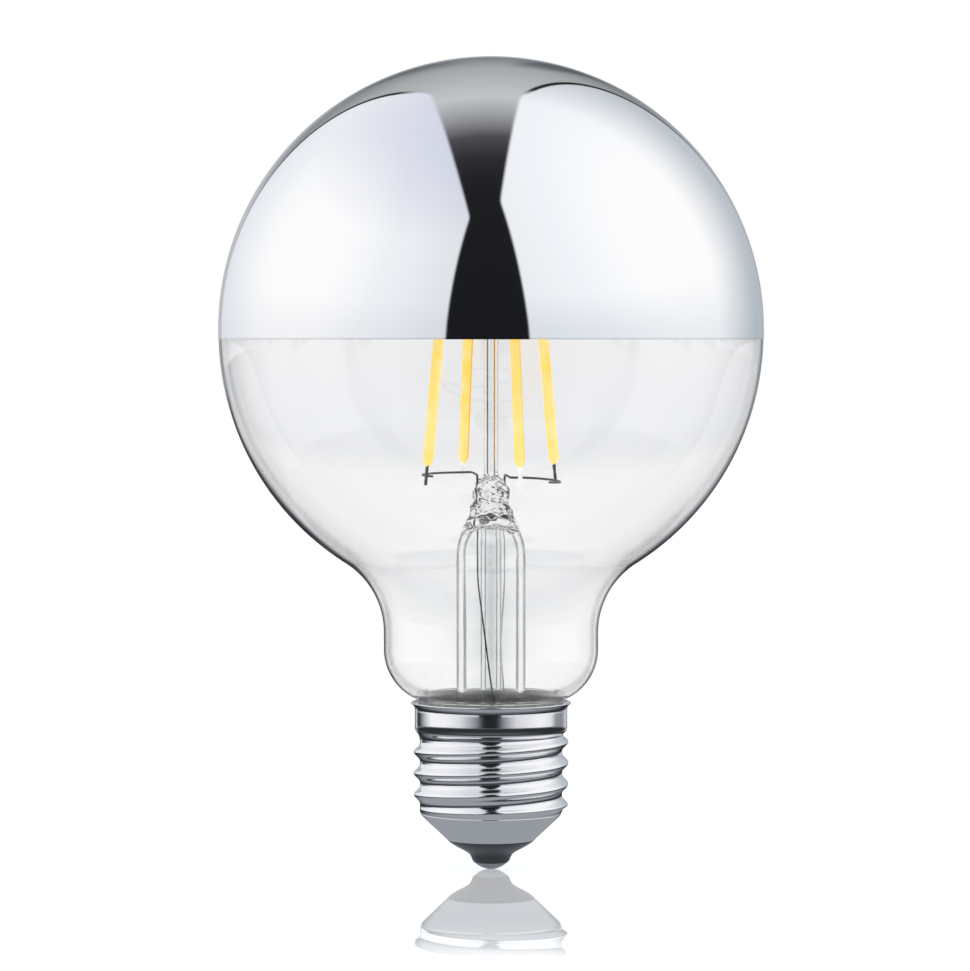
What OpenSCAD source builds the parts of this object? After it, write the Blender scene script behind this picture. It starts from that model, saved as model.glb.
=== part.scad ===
// Mirrored-crown filament globe lamp with a large screw cap, all sizes in millimetres.
// The lamp stands on its contact tip: origin at the tip, +Z along the axis, front towards -Y.
// Every height is chained upwards from the tip, so a longer cap carries the glass up with it.

/* [Solder tip and contact] */
// Height of the solder dome
tip_h = 1.15; // [0.8:0.05:2]
// Radius of the solder dome at its foot
tip_r = 2.8; // [2:0.1:3.2]
// Thickness of the contact plate
contact_t = 0.3; // [0.2:0.05:0.8]
// Radius of the centre wire
centre_wire_r = 0.3; // [0.2:0.05:0.5]

/* [Cap insulator] */
// Height of the insulator's stub between tip and flare
stub_h = 1.6; // [1:0.1:3]
// Radius of the stub
stub_r = 3.4; // [3.3:0.1:4.5]
// Radius of the hollow bend between stub and flare
stub_bend_r = 1.1; // [0.5:0.1:2]
// How far the insulator reaches up inside the shell
insulator_rise = 1.3; // [0.5:0.1:2]

/* [Cap shell] */
// Thickness of the rolled sheet
sheet_t = 0.3; // [0.2:0.05:0.45]
// Height of the tip, stub and flare below the shell's lower edge
shell_z = 5; // [4.4:0.1:7]
// Radius of the shell's lower edge
cone_end_r = 7.4; // [6:0.1:9]
// Height of the cone
cone_h = 4.5; // [3:0.1:7]
// Largest diameter over the thread
thread_d = 26.3; // [25.6:0.05:26.6]
// Diameter at the bottom of the thread
thread_root_d = 24.3; // [23.6:0.05:24.9]
// Rise of the thread in one turn
pitch = 3.629; // [3:0.05:4.4]
// Turns of full-height thread
thread_turns = 3; // [2:1:4]
// Length over which the thread rises out of the cone
run_in = 1.4; // [1:0.1:3]
// Length over which the thread fades under the collar
run_out = 2.3; // [1.5:0.1:4]
// Diameter of the plain collar
collar_d = 25.9; // [25:0.05:26.2]
// Height of the plain collar
collar_h = 3.3; // [2:0.1:6]
// Height of the flared lip
lip_h = 1.1; // [0.6:0.1:2]
// How far the lip stands out from the collar
lip_out = 0.65; // [0.3:0.05:1.2]

/* [Glass globe] */
// Radius of the globe's glass
globe_r = 46.15; // [40:0.25:52]
// Straight band between the two half globes
band_h = 0.5; // [0.1:0.1:4]
// Wall of the blown glass
glass_t = 0.75; // [0.5:0.05:1.1]
// Radius of the neck
neck_r = 18.2; // [16:0.1:21]
// Straight length of the neck
neck_h = 2.85; // [0.5:0.05:12]
// Radius of the hollow bend between globe and neck
throat_r = 14; // [9:0.5:20]
// Radius of the round shoulder that closes the neck
shoulder_r = 9.2; // [7.5:0.1:11]
// Height of the shoulder's centre above the lip
shoulder_h = 9; // [8.5:0.1:12]
// Gap between the shell's inner wall and the glass skirt
skirt_gap = 0.65; // [0.4:0.05:1.5]
// Depth of the glass skirt below the collar
skirt_depth = 4.1; // [2:0.1:6]
// Radius of the bend from shoulder to skirt
skirt_bend_r = 1.2; // [0.8:0.1:1.6]

/* [Mirror crown] */
// Thickness of the mirror layer as modelled
crown_t = 0.12; // [0.05:0.01:0.4]
// How far the mirror's edge lies below the lower half globe's centre
crown_drop = 1.06; // [0.2:0.1:12]

/* [Glass stem] */
// Outer diameter of the stem tube
tube_d = 11.7; // [10:0.1:13]
// Wall of the stem tube
tube_t = 1; // [0.6:0.05:1.2]
// Height of the stem tube above the glass seal
tube_h = 34.5; // [25:0.5:42]
// Height over which the tube narrows to the pinch
stem_shoulder_h = 7.5; // [5:0.1:10]
// Height of the pinch above the stem's shoulder
pinch_h = 4.5; // [3:0.1:8]
// Width of the pinch
pinch_w = 6.1; // [5.6:0.1:7.5]
// Thickness of the pinch
pinch_t = 4.6; // [4:0.1:6]
// Outer diameter of the exhaust tube
exhaust_d = 3.6; // [3:0.1:4]
// Wall of the exhaust tube
exhaust_t = 0.6; // [0.4:0.05:1]
// How far the exhaust tube reaches below the glass seal
exhaust_drop = 6; // [2:0.5:7]
// Diameter of the blow hole into the exhaust tube
blow_hole_d = 1.2; // [0.8:0.1:1.6]
// Diameter of the glass support rod
rod_d = 2.4; // [1.8:0.1:3]
// Radius of the glass button on the rod
button_r = 2.1; // [1.6:0.1:3]

/* [Leads] */
// Diameter of the inner leads and the top wires
lead_d = 0.4; // [0.3:0.05:0.6]
// Diameter of the seal wires and the outer leads
seal_d = 0.26; // [0.2:0.02:0.34]
// Sideways place of the leads in the pinch
lead_x = 2.3; // [2.2:0.05:2.45]
// Place of the leads in the pinch, front to back
lead_y = 0.8; // [0.6:0.05:1]
// Length of seal wire in the pinch
seal_len = 3.1; // [2:0.1:5]
// Height of the inner leads above the top of the pinch
lead_rise = 0.2; // [-0.4:0.1:1]
// Length of an inner lead's bend over the pinch
lead_bend = 1.6; // [1:0.1:1.8]
// How far the right lead sags along its arc
lead_sag = 1.6; // [0:0.1:2]
// Angle by which a lead or top wire runs past the two filaments that it joins
lead_over = 7.5; // [5:0.5:12]
// Clearance between a wire and the glass or weld round it
wire_gap = 0.02; // [0.01:0.01:0.05]

/* [Filaments] */
// Radius of the ring of filaments at their lower ends
ring_r = 11.8; // [9:0.1:14]
// Angle by which each filament leans inwards
lean = 5.4; // [0:0.1:8]
// Bearing of the first filament
first_bearing = 24; // [15:1:30]
// Height of the coats above the top of the pinch
coat_rise = 1.8; // [1.2:0.1:2.2]
// Length of the yellow coat
coat_len = 30; // [24:0.5:36]
// Diameter of the coat
coat_d = 1.8; // [1.5:0.05:2.4]
// Rounding at the ends of the coat
coat_round = 0.4; // [0.1:0.05:0.6]
// Width of the strip that carries the chips
strip_w = 0.9; // [0.7:0.05:1]
// Thickness of the strip
strip_t = 0.4; // [0.3:0.05:0.5]
// Number of light chips on a strip
chip_count = 24; // [12:1:30]
// Length of a chip
chip_len = 0.6; // [0.4:0.05:0.7]
// Width of a chip
chip_w = 0.4; // [0.25:0.05:0.6]
// Thickness of a chip
chip_t = 0.12; // [0.08:0.02:0.2]
// Visible length of the metal tabs
tab_out = 3.2; // [2.6:0.1:3.6]
// Length of each tab inside the coat
tab_in = 0.8; // [0.4:0.1:1.5]
// Width of a tab
tab_w = 0.9; // [0.7:0.05:1]
// Thickness of a tab
tab_t = 0.25; // [0.15:0.05:0.35]

/* [Driver] */
// Radius of the round circuit board
board_r = 10.6; // [9.8:0.1:11.2]
// Thickness of the board
board_t = 1; // [0.8:0.1:1.6]
// Diameter of the capacitor
capacitor_d = 5; // [4:0.1:6]
// Height of the capacitor
capacitor_h = 8; // [6:0.1:9]
// Diameter of the inductor's flanges
inductor_d = 5; // [4:0.1:6]
// Height of the inductor
inductor_h = 5; // [4:0.1:7]
// Diameter of the fusible resistor
resistor_d = 2.4; // [1.8:0.1:3]
// Length of the fusible resistor's body
resistor_h = 5.5; // [4:0.1:7]
// Width of the bridge rectifier
bridge_w = 4; // [3:0.1:5]
// Thickness of the bridge rectifier
bridge_t = 1.2; // [1:0.1:1.4]
// Width of the driver chip
driver_w = 3.9; // [3:0.1:4.5]
// Length of the driver chip
driver_len = 4.9; // [4:0.1:5.5]
// Thickness of the driver chip
driver_t = 1.1; // [0.8:0.1:1.4]

/* [Hidden] */
// Clearance between seated parts that don't touch all over
seat_gap = 0.04;
// Steps round a turn for drawn circles
$fn = 72;
// Steps round a turn for the rolled thread and rows in one pitch of it
thread_cols = 44;
thread_rows = 10;
// Sharpness of the crest: 1 is a plain wave and more is a narrower crest
crest_power = 1.5;
// Overlap of the rolled thread with the collar and the cone, and the step there
join_h = 0.3;
join_step = 0.06;
// Sides of a swept wire
wire_sides = 8;
// Steps round the pinch
pinch_sides = 32;

// Cap heights, from the tip upwards
cone_top_z = shell_z + cone_h;
thread_low_z = cone_top_z + run_in;
thread_high_z = thread_low_z + thread_turns * pitch;
collar_z = thread_high_z + run_out;
lip_z = collar_z + collar_h;
widen_z = thread_high_z + run_out * 0.4;
widen_h = run_out * 0.5;
cap_top_z = lip_z + lip_h;

// Cap radii, with the cone's inner line square to its outer one
thread_r = thread_d / 2;
root_r = thread_root_d / 2;
collar_r = collar_d / 2;
cone_run = sqrt(pow(root_r - cone_end_r, 2) + pow(cone_h, 2));
cone_ux = (root_r - cone_end_r) / cone_run;
cone_uz = cone_h / cone_run;
cone_in_r = cone_end_r - sheet_t * cone_uz;
cone_in_z = shell_z + sheet_t * cone_ux;
function cone_inner(z) = cone_in_r + (z - cone_in_z) * cone_ux / cone_uz;
cone_in_top_z = cone_in_z + (root_r - sheet_t - cone_in_r) * cone_uz / cone_ux;

// Glass heights and the centres of its bends
shoulder_z = cap_top_z + shoulder_h;
throat_z = shoulder_z + neck_h;
throat_x = neck_r + throat_r;
low_globe_z = throat_z + sqrt(pow(globe_r + throat_r, 2) - pow(throat_x, 2));
top_globe_z = low_globe_z + band_h;
throat_a = atan2(low_globe_z - throat_z, throat_x);
crown_a = asin(crown_drop / globe_r);
shoulder_x = neck_r - shoulder_r;
skirt_r = root_r - sheet_t - skirt_gap;
skirt_x = skirt_r + skirt_bend_r;
skirt_a = acos((skirt_x - shoulder_x) / (shoulder_r + skirt_bend_r));
skirt_z = shoulder_z - (shoulder_r + skirt_bend_r) * sin(skirt_a);
seal_z = collar_z - skirt_depth;

// Stem heights, from the glass seal upwards
tube_r = tube_d / 2;
flare_bend_r = skirt_r - glass_t - tube_r;
tube_top_z = seal_z + tube_h;
pinch_z = tube_top_z + stem_shoulder_h;
pinch_top_z = pinch_z + pinch_h;
cavity_z = tube_top_z + stem_shoulder_h / 2;
// The pinch's sloped top: how far it draws in and over what height
pinch_slope_w = 1.7;
pinch_slope_h = 2.2;
exhaust_r = exhaust_d / 2;
exhaust_end_z = seal_z - exhaust_drop;

// Lead and filament heights
lead_r = lead_d / 2;
seal_wire_r = seal_d / 2;
seal_low_z = cavity_z + 0.3;
seal_high_z = seal_low_z + seal_len;
lead_z = pinch_top_z + lead_rise;
coat_z = pinch_top_z + coat_rise;
tab_mid = coat_len + tab_out / 2;
top_wire_z = coat_z + tab_mid * cos(lean);
button_z = top_wire_z + 1;
weld_off = tab_t / 2 + lead_r + wire_gap;
// Arc of a lead or top wire from its start to its end, and the steps along it
ring_sweep = 90 + 2 * lead_over;
ring_steps = 11;
// Radius of the filaments' ring at a height, and of a lead that is welded inside it
function ring_at(z) = ring_r - (z - coat_z) * tan(lean);
function lead_ring(z) = ring_at(z) - weld_off / cos(lean);

// Driver heights: the board rests on the inside of the cone
board_z = cone_in_z + (board_r - cone_in_r) * cone_uz / cone_ux + seat_gap;
board_top_z = board_z + board_t;
// Wall of the capacitor's can, height of its bung, and flanges of the inductor's drum
can_t = 0.23;
bung_h = 1.2;
flange_t = 0.8;
// Places of the parts on the board
capacitor_at = [6.6, 0];
inductor_at = [-5.9, 2.4];
resistor_at = [-4.6, -5.4];
bridge_at = [-3.6, 0];
driver_at = [3.8, 0];
// Feet of the outer leads on the board and the bends on their way down, as share of the height
left_foot = [1.6, -5.2];
right_foot = [1.2, 5.6];
left_way = [[-2.2, -1.6, 0.82], [-0.9, -2.6, 0.6], [0.3, -3, 0.4], [1, -3.6, 0.22]];
right_way = [[2.4, 1.8, 0.82], [1.7, 2.7, 0.58], [2.4, 2.4, 0.38], [1.6, 3.4, 0.22]];

FILAMENTS = [0, 1, 2, 3];

// Points along an arc in the plane of radius and height
function arc(x, z, r, from, to, steps) =
    [for (i = [0 : steps]) let (a = from + (to - from) * i / steps) [x + r * cos(a), z + r * sin(a)]];

// Smooth step from 0 to 1
function ease(t) = let (c = min(max(t, 0), 1)) c * c * (3 - 2 * c);

// A list without its first point, for arcs that start where the last one ended
function after_first(list) = [for (i = [1 : len(list) - 1]) list[i]];

// The mirrored part of the globe's outline, from the pole down to the crown's edge
function crown_line(out) = concat(
    arc(0, top_globe_z, globe_r + out, 90, 0, 24),
    arc(0, low_globe_z, globe_r + out, 0, -crown_a, 1)
);

// The clear part of the outline, from the crown's edge down to the end of the skirt
function clear_line(out) = concat(
    after_first(arc(0, low_globe_z, globe_r + out, -crown_a, -throat_a, 16)),
    after_first(arc(throat_x, throat_z, throat_r - out, 180 - throat_a, 180, 10)),
    arc(shoulder_x, shoulder_z, shoulder_r + out, 0, -skirt_a, 12),
    bend_line(out)
);

// The bend inside the cap and the skirt under it
function bend_line(out) = concat(
    after_first(arc(skirt_x, skirt_z, skirt_bend_r - out, 180 - skirt_a, 180, 5)),
    [[skirt_r + out, seal_z]]
);

function backwards(list) = [for (i = [len(list) - 1 : -1 : 0]) list[i]];

// Blown globe with its neck and the skirt that the cap holds
module glass_envelope() {
    outer = concat(crown_line(0), clear_line(0));
    inner = concat(crown_line(-glass_t), clear_line(-glass_t));
    color("aliceblue", 0.3)
        rotate_extrude()
            polygon(concat(outer, backwards(inner)));
}

// Mirror layer laid on the outside of the upper half
module mirror_crown() {
    color("silver")
        rotate_extrude()
            polygon(concat(crown_line(crown_t), backwards(crown_line(0))));
}

// One ring of the pinch: an ellipse at a height
function pinch_ring(x, y, z) =
    [for (k = [0 : pinch_sides - 1]) [x * cos(360 * k / pinch_sides), y * sin(360 * k / pinch_sides), z]];

// Faces that join rings of points and close both ends
function skin_faces(rings, sides) = concat(
    [[for (k = [0 : sides - 1]) k]],
    [for (i = [0 : rings - 2]) for (k = [0 : sides - 1]) let (n = (k + 1) % sides)
        [i * sides + k, (i + 1) * sides + k, (i + 1) * sides + n]],
    [for (i = [0 : rings - 2]) for (k = [0 : sides - 1]) let (n = (k + 1) % sides)
        [i * sides + k, (i + 1) * sides + n, i * sides + n]],
    [[for (k = [sides - 1 : -1 : 0]) (rings - 1) * sides + k]]
);

// Pressed glass above the tube: round where it leaves the tube, flat and sloped in at its top
module pinch_body() {
    steps = 8;
    foot_r = tube_r - join_step / 2;
    shoulder = [for (i = [0 : steps]) let (t = ease(i / steps))
        pinch_ring(foot_r + (pinch_w / 2 - foot_r) * t, foot_r + (pinch_t / 2 - foot_r) * t,
            tube_top_z - join_h + (stem_shoulder_h + join_h) * i / steps)];
    crest = [for (t = [0, 0.12, 0.3, 0.9, 1]) let (draw = pinch_slope_w * (t + ease(t * 2) * 0.06))
        pinch_ring(pinch_w / 2 - draw, pinch_t / 2 - draw * 0.65, pinch_top_z - pinch_slope_h * (1 - t))];
    rings = concat(shoulder, crest);
    polyhedron([for (ring = rings) each ring], skin_faces(len(rings), pinch_sides));
}

// Stem: a tube flared to the skirt at its foot and pressed shut round the leads at its top
module stem_flare() {
    outer = concat(
        [[skirt_r, seal_z]],
        arc(tube_r + flare_bend_r, seal_z + flare_bend_r, flare_bend_r, 270, 180, 8),
        [[tube_r, tube_top_z], [tube_r - tube_t, tube_top_z]]
    );
    inner = concat(
        arc(tube_r + flare_bend_r, seal_z + flare_bend_r, flare_bend_r + tube_t, 180, 270, 8),
        [[skirt_r, seal_z - tube_t]]
    );
    cavity_top_r = norm([lead_x, lead_y]) + seal_wire_r + 0.3;
    color("lightcyan", 0.35)
        difference() {
            union() {
                rotate_extrude()
                    polygon(concat(outer, inner));
                pinch_body();
            }
            rotate_extrude()
                polygon([[0, tube_top_z - 2 * join_h], [tube_r - tube_t, tube_top_z - 2 * join_h],
                    [tube_r - tube_t, tube_top_z], [cavity_top_r, cavity_z], [0, cavity_z]]);
            for (side = [-1, 1])
                translate([side * lead_x, side * lead_y, cavity_z - join_h])
                    cylinder(r = seal_wire_r + wire_gap, h = seal_high_z - cavity_z + join_h);
            for (side = [-1, 1])
                translate([side * lead_x, side * lead_y, seal_high_z])
                    cylinder(r = lead_r + wire_gap, h = pinch_top_z - seal_high_z + 1);
            translate([0, 0, cavity_z - join_h])
                rotate([-40, 0, 0])
                    cylinder(d = blow_hole_d, h = stem_shoulder_h + pinch_h);
        }
}

// Tube through which the lamp was filled, drawn off to a closed tip inside the cap
module exhaust_tube() {
    bore_r = exhaust_r - exhaust_t;
    outer = concat([[exhaust_r, cavity_z]], arc(0, exhaust_end_z + exhaust_r, exhaust_r, 0, -90, 8));
    inner = concat(arc(0, exhaust_end_z + exhaust_r + exhaust_t, bore_r, -90, 0, 8), [[bore_r, cavity_z]]);
    color("lightcyan", 0.35)
        rotate_extrude()
            polygon(concat(outer, inner));
}

// Solid glass rod with the button that the top wires are set in
module support_rod() {
    color("lightcyan", 0.35)
        difference() {
            union() {
                translate([0, 0, pinch_top_z])
                    cylinder(d = rod_d, h = button_z - pinch_top_z);
                translate([0, 0, button_z])
                    sphere(r = button_r);
            }
            for (turn = [0, 180])
                rotate([0, 0, first_bearing + turn])
                    translate([rod_d / 3, 0, button_z])
                        rotate([0, 90, 0])
                            cylinder(r = lead_r + wire_gap, h = button_r);
        }
}

// The direction square to an axis that is nearest to a given one
function carried(n, axis) = let (v = n - (n * axis) * axis) v / norm(v);
function carried_along(axes, n, i = 0) =
    i >= len(axes) ? [] : let (m = carried(n, axes[i])) concat([m], carried_along(axes, m, i + 1));

// A route of straight runs with each corner rounded over a length on both sides
function rounded_route(pts, reach, steps = 4) = concat(
    [pts[0]],
    [for (i = [1 : len(pts) - 2]) each let (
        back = pts[i - 1] - pts[i],
        ahead = pts[i + 1] - pts[i],
        cut = min(reach, norm(back) * 0.45, norm(ahead) * 0.45),
        a = pts[i] + back * cut / norm(back),
        b = pts[i] + ahead * cut / norm(ahead)
    ) [for (s = [0 : steps]) let (t = s / steps)
        (1 - t) * (1 - t) * a + 2 * t * (1 - t) * pts[i] + t * t * b]],
    [pts[len(pts) - 1]]
);

// Round wire swept along a route
module wire(route, r) {
    last = len(route) - 1;
    axes = [for (i = [0 : last]) let (d = route[min(i + 1, last)] - route[max(i - 1, 0)]) d / norm(d)];
    sides = carried_along(axes, [0.31, 0.87, 0.38]);
    points = [for (i = [0 : last]) for (k = [0 : wire_sides - 1]) let (a = 360 * k / wire_sides)
        route[i] + r * (cos(a) * sides[i] + sin(a) * cross(axes[i], sides[i]))];
    polyhedron(points, skin_faces(last + 1, wire_sides));
}

function on_ring(bearing, z) =
    [lead_ring(z) * cos(bearing), lead_ring(z) * sin(bearing), z];

// Inner lead: up out of the pinch, out to a filament and round the ring to the next one
module inner_lead(side, sag) {
    start = first_bearing + (side < 0 ? 90 : 270) - lead_over;
    foot = [side * lead_x, side * lead_y, 0];
    low = foot + [0, 0, seal_high_z];
    turn = foot + [0, 0, lead_z];
    ring = [for (i = [1 : ring_steps]) let (t = i / ring_steps)
        on_ring(start + ring_sweep * t, lead_z - sag * ease(t))];
    rise = rounded_route([low, turn, on_ring(start, lead_z), ring[0]], lead_bend);
    color("dimgray")
        wire(concat(rise, after_first(ring)), lead_r);
}

// Top wire: out of the button to one filament and round the ring to the next one
module top_wire(bearing) {
    start = bearing - lead_over;
    inside = [rod_d / 3 * cos(bearing), rod_d / 3 * sin(bearing), button_z];
    outside = [(button_r + 1) * cos(bearing), (button_r + 1) * sin(bearing), button_z];
    ring = [for (i = [1 : ring_steps]) on_ring(start + ring_sweep * i / ring_steps, top_wire_z)];
    reach = rounded_route([inside, outside, on_ring(start, top_wire_z), ring[0]], 1);
    color("dimgray")
        wire(concat(reach, after_first(ring)), lead_r);
}

// Seal wire: the short length whose expansion matches the glass
module seal_wire(side) {
    color("indianred")
        translate([side * lead_x, side * lead_y, seal_low_z])
            cylinder(r = seal_wire_r, h = seal_high_z - seal_low_z);
}

// Outer lead: from the seal wire down through the stem tube to the board
module outer_lead(side) {
    way = side < 0 ? left_way : right_way;
    foot = side < 0 ? left_foot : right_foot;
    drop = seal_low_z - board_top_z;
    top = [side * lead_x, side * lead_y, seal_low_z];
    route = concat(
        [top, top - [0, 0, 1]],
        [for (p = way) [p[0], p[1], board_top_z + p[2] * drop]],
        [[foot[0], foot[1], board_top_z + 2], [foot[0], foot[1], board_top_z]]
    );
    color("peru")
        wire(rounded_route(route, 2.5, 2), seal_wire_r);
}

// Puts a filament's parts on the ring: z runs up along the filament and x points outwards
module at_filament(i) {
    rotate([0, 0, first_bearing + 90 * i])
        translate([ring_r, 0, coat_z])
            rotate([0, -lean, 0])
                children();
}

module strip_body() {
    translate([-strip_t / 2, -strip_w / 2, tab_in])
        cube([strip_t, strip_w, coat_len - 2 * tab_in]);
}

module chip_bodies() {
    step = (coat_len - 2 * tab_in) / chip_count;
    for (k = [0 : chip_count - 1])
        translate([strip_t / 2, -chip_w / 2, tab_in + step * (k + 0.5) - chip_len / 2])
            cube([chip_t, chip_w, chip_len]);
}

module lower_tab_body() {
    translate([-tab_t / 2, -tab_w / 2, -tab_out])
        cube([tab_t, tab_w, tab_out + tab_in]);
}

module upper_tab_body() {
    translate([-tab_t / 2, -tab_w / 2, coat_len - tab_in])
        cube([tab_t, tab_w, tab_out + tab_in]);
}

// Yellow coat moulded round the strip, its chips and the roots of both tabs
module filament_coat(i) {
    r = coat_d / 2;
    color("gold")
        at_filament(i)
            difference() {
                rotate_extrude()
                    polygon(concat(
                        [[0, 0]],
                        arc(r - coat_round, coat_round, coat_round, -90, 0, 4),
                        arc(r - coat_round, coat_len - coat_round, coat_round, 0, 90, 4),
                        [[0, coat_len]]
                    ));
                strip_body();
                chip_bodies();
                lower_tab_body();
                upper_tab_body();
            }
}

module filament_strip(i) {
    color("gainsboro")
        at_filament(i)
            strip_body();
}

module filament_chips(i) {
    color("royalblue")
        at_filament(i)
            chip_bodies();
}

module lower_tab(i) {
    color("dimgray")
        at_filament(i)
            lower_tab_body();
}

module upper_tab(i) {
    color("dimgray")
        at_filament(i)
            upper_tab_body();
}

// Height of the thread's wave, from 0 in the root to 1 on the crest, at a bearing and a height
function wave(bearing, z) =
    let (turn = (z - thread_low_z) / pitch - bearing / 360,
         rise = ease((z - cone_top_z - join_h) / run_in),
         fade = 1 - ease((z - thread_high_z) / (run_out * 0.75)))
    pow((1 + cos(360 * turn)) / 2, crest_power) * rise * fade;

// Thread rolled into the sheet, so that its inside follows its outside
module rolled_thread() {
    low = cone_top_z - join_h;
    high = collar_z + join_h;
    rows = ceil((high - low) / pitch * thread_rows);
    height = [for (j = [0 : rows]) low + (high - low) * j / rows];
    // Wall at a height: the root's radius in the thread, widening to the collar's at its top
    base = [for (z = height) root_r - join_step
        + (collar_r - root_r) * ease((z - widen_z) / widen_h)];
    n = thread_cols;
    crest = thread_r - root_r + join_step;
    outer = [for (j = [0 : rows]) for (k = [0 : n - 1]) let (a = 360 * k / n,
        r = base[j] + crest * wave(a, height[j])) [r * cos(a), r * sin(a), height[j]]];
    inner = [for (j = [0 : rows]) for (k = [0 : n - 1]) let (a = 360 * k / n,
        r = base[j] + crest * wave(a, height[j]) - sheet_t) [r * cos(a), r * sin(a), height[j]]];
    skin = (rows + 1) * n;
    faces = concat(
        [for (j = [0 : rows - 1]) for (k = [0 : n - 1]) let (m = (k + 1) % n)
            [j * n + k, (j + 1) * n + k, (j + 1) * n + m]],
        [for (j = [0 : rows - 1]) for (k = [0 : n - 1]) let (m = (k + 1) % n)
            [j * n + k, (j + 1) * n + m, j * n + m]],
        [for (j = [0 : rows - 1]) for (k = [0 : n - 1]) let (m = (k + 1) % n)
            [skin + j * n + k, skin + (j + 1) * n + m, skin + (j + 1) * n + k]],
        [for (j = [0 : rows - 1]) for (k = [0 : n - 1]) let (m = (k + 1) % n)
            [skin + j * n + k, skin + j * n + m, skin + (j + 1) * n + m]],
        [for (k = [0 : n - 1]) let (m = (k + 1) % n) [k, m, skin + m]],
        [for (k = [0 : n - 1]) let (m = (k + 1) % n) [k, skin + m, skin + k]],
        [for (k = [0 : n - 1]) let (m = (k + 1) % n) [rows * n + k, skin + rows * n + m, rows * n + m]],
        [for (k = [0 : n - 1]) let (m = (k + 1) % n)
            [rows * n + k, skin + rows * n + k, skin + rows * n + m]]
    );
    polyhedron(concat(outer, inner), faces);
}

// Cap shell: one sheet drawn to a cup, with a rolled thread, a plain collar and a flared lip
module cap_shell() {
    wall_r = collar_r - sheet_t;
    rim_r = collar_r + lip_out;
    color("silver")
        union() {
            rotate_extrude()
                polygon([[wall_r, collar_z], [collar_r, collar_z], [collar_r, lip_z],
                    [collar_r + lip_out * 0.3, lip_z + lip_h * 0.45],
                    [rim_r, cap_top_z - sheet_t * 0.4], [rim_r - sheet_t * 0.7, cap_top_z],
                    [wall_r + lip_out * 0.3, lip_z + lip_h * 0.65], [wall_r, lip_z + lip_h * 0.2]]);
            rolled_thread();
            rotate_extrude()
                polygon([[cone_end_r, shell_z], [root_r, cone_top_z], [root_r, cone_top_z + join_h],
                    [root_r - sheet_t, cone_top_z + join_h], [root_r - sheet_t, cone_in_top_z],
                    [cone_in_r, cone_in_z]]);
        }
}

// Black glass that carries the contact and closes the lower end of the shell
module cap_insulator() {
    stub_top_z = tip_h + stub_h;
    flare_run = cone_end_r - stub_r - stub_bend_r;
    inside_z = cone_in_z + insulator_rise;
    color([0.13, 0.13, 0.15])
        rotate_extrude()
            polygon(concat(
                [[centre_wire_r + 0.3, tip_h + contact_t], [tip_r + seat_gap, tip_h + contact_t]],
                [[tip_r + seat_gap, tip_h + 0.05]],
                arc(stub_r - 0.3, tip_h + 0.3, 0.3, -50, 0, 3),
                arc(stub_r + stub_bend_r, stub_top_z - stub_bend_r * 0.4, stub_bend_r, 180, 120, 4),
                [[cone_end_r - flare_run * 0.1, shell_z - 0.35], [cone_end_r, shell_z - seat_gap]],
                [[cone_in_r - seat_gap, cone_in_z], [cone_inner(inside_z) - seat_gap, inside_z]],
                [[centre_wire_r + 2, inside_z], [centre_wire_r + 0.3, inside_z - 1]]
            ));
}

// Brass plate let into the foot of the insulator
module contact_plate() {
    color("goldenrod")
        translate([0, 0, tip_h])
            difference() {
                cylinder(r = tip_r, h = contact_t);
                translate([0, 0, -0.5])
                    cylinder(r = centre_wire_r + wire_gap, h = contact_t + 1);
            }
}

// Dome of solder that the lamp makes contact with
module solder_tip() {
    dome_r = (pow(tip_r, 2) + pow(tip_h, 2)) / (2 * tip_h);
    dome_a = asin(tip_r / dome_r);
    color("lightgray")
        rotate_extrude()
            polygon(concat(arc(0, dome_r, dome_r, -90, dome_a - 90, 8), [[0, tip_h]]));
}

// Cement between the glass and the cap
module cap_cement() {
    glass_side = [for (p = bend_line(0)) if (p[1] > seal_z) p];
    skirt_wall_r = root_r - sheet_t - 2 * join_step;
    wall_r = collar_r - sheet_t;
    color("tan")
        rotate_extrude()
            polygon(concat(
                [[shoulder_x + shoulder_r * cos(skirt_a), shoulder_z - shoulder_r * sin(skirt_a)]],
                glass_side,
                [[skirt_r, seal_z + 0.5], [skirt_wall_r, seal_z + 0.5]],
                [[skirt_wall_r, widen_z + 0.1 * widen_h]],
                [[wall_r - 2 * join_step, widen_z + widen_h + join_h]],
                [[wall_r - seat_gap, lip_z + lip_h * 0.2]]
            ));
}

// Round board that rests on the inside of the cone
module driver_board() {
    color("seagreen")
        translate([0, 0, board_z])
            difference() {
                cylinder(r = board_r, h = board_t);
                translate([0, 0, -0.5])
                    cylinder(r = centre_wire_r + wire_gap, h = board_t + 1);
            }
}

// Bridge rectifier on the underside, with its two pairs of feet
module bridge_rectifier() {
    color([0.16, 0.16, 0.17])
        translate([bridge_at[0], bridge_at[1], board_z - bridge_t - 0.1]) {
            translate([-bridge_w / 2, -bridge_w / 2, 0])
                cube([bridge_w, bridge_w, bridge_t]);
            for (x = [-1, 1])
                for (y = [-1, 1])
                    translate([x * bridge_w * 0.3 - 0.3, y * (bridge_w / 2 + 0.2) - 0.4, bridge_t - 0.2])
                        cube([0.6, 0.8, 0.3]);
        }
}

// Driver chip on the underside, with four feet a side
module driver_chip() {
    color([0.16, 0.16, 0.17])
        translate([driver_at[0], driver_at[1], board_z - driver_t - 0.1]) {
            translate([-driver_w / 2, -driver_len / 2, 0])
                cube([driver_w, driver_len, driver_t]);
            for (x = [-1, 1])
                for (k = [-1.5 : 1 : 1.5])
                    translate([x * (driver_w / 2 + 0.25) - 0.35, k * driver_len / 4 - 0.2, driver_t - 0.15])
                        cube([0.7, 0.4, 0.25]);
        }
}

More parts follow.
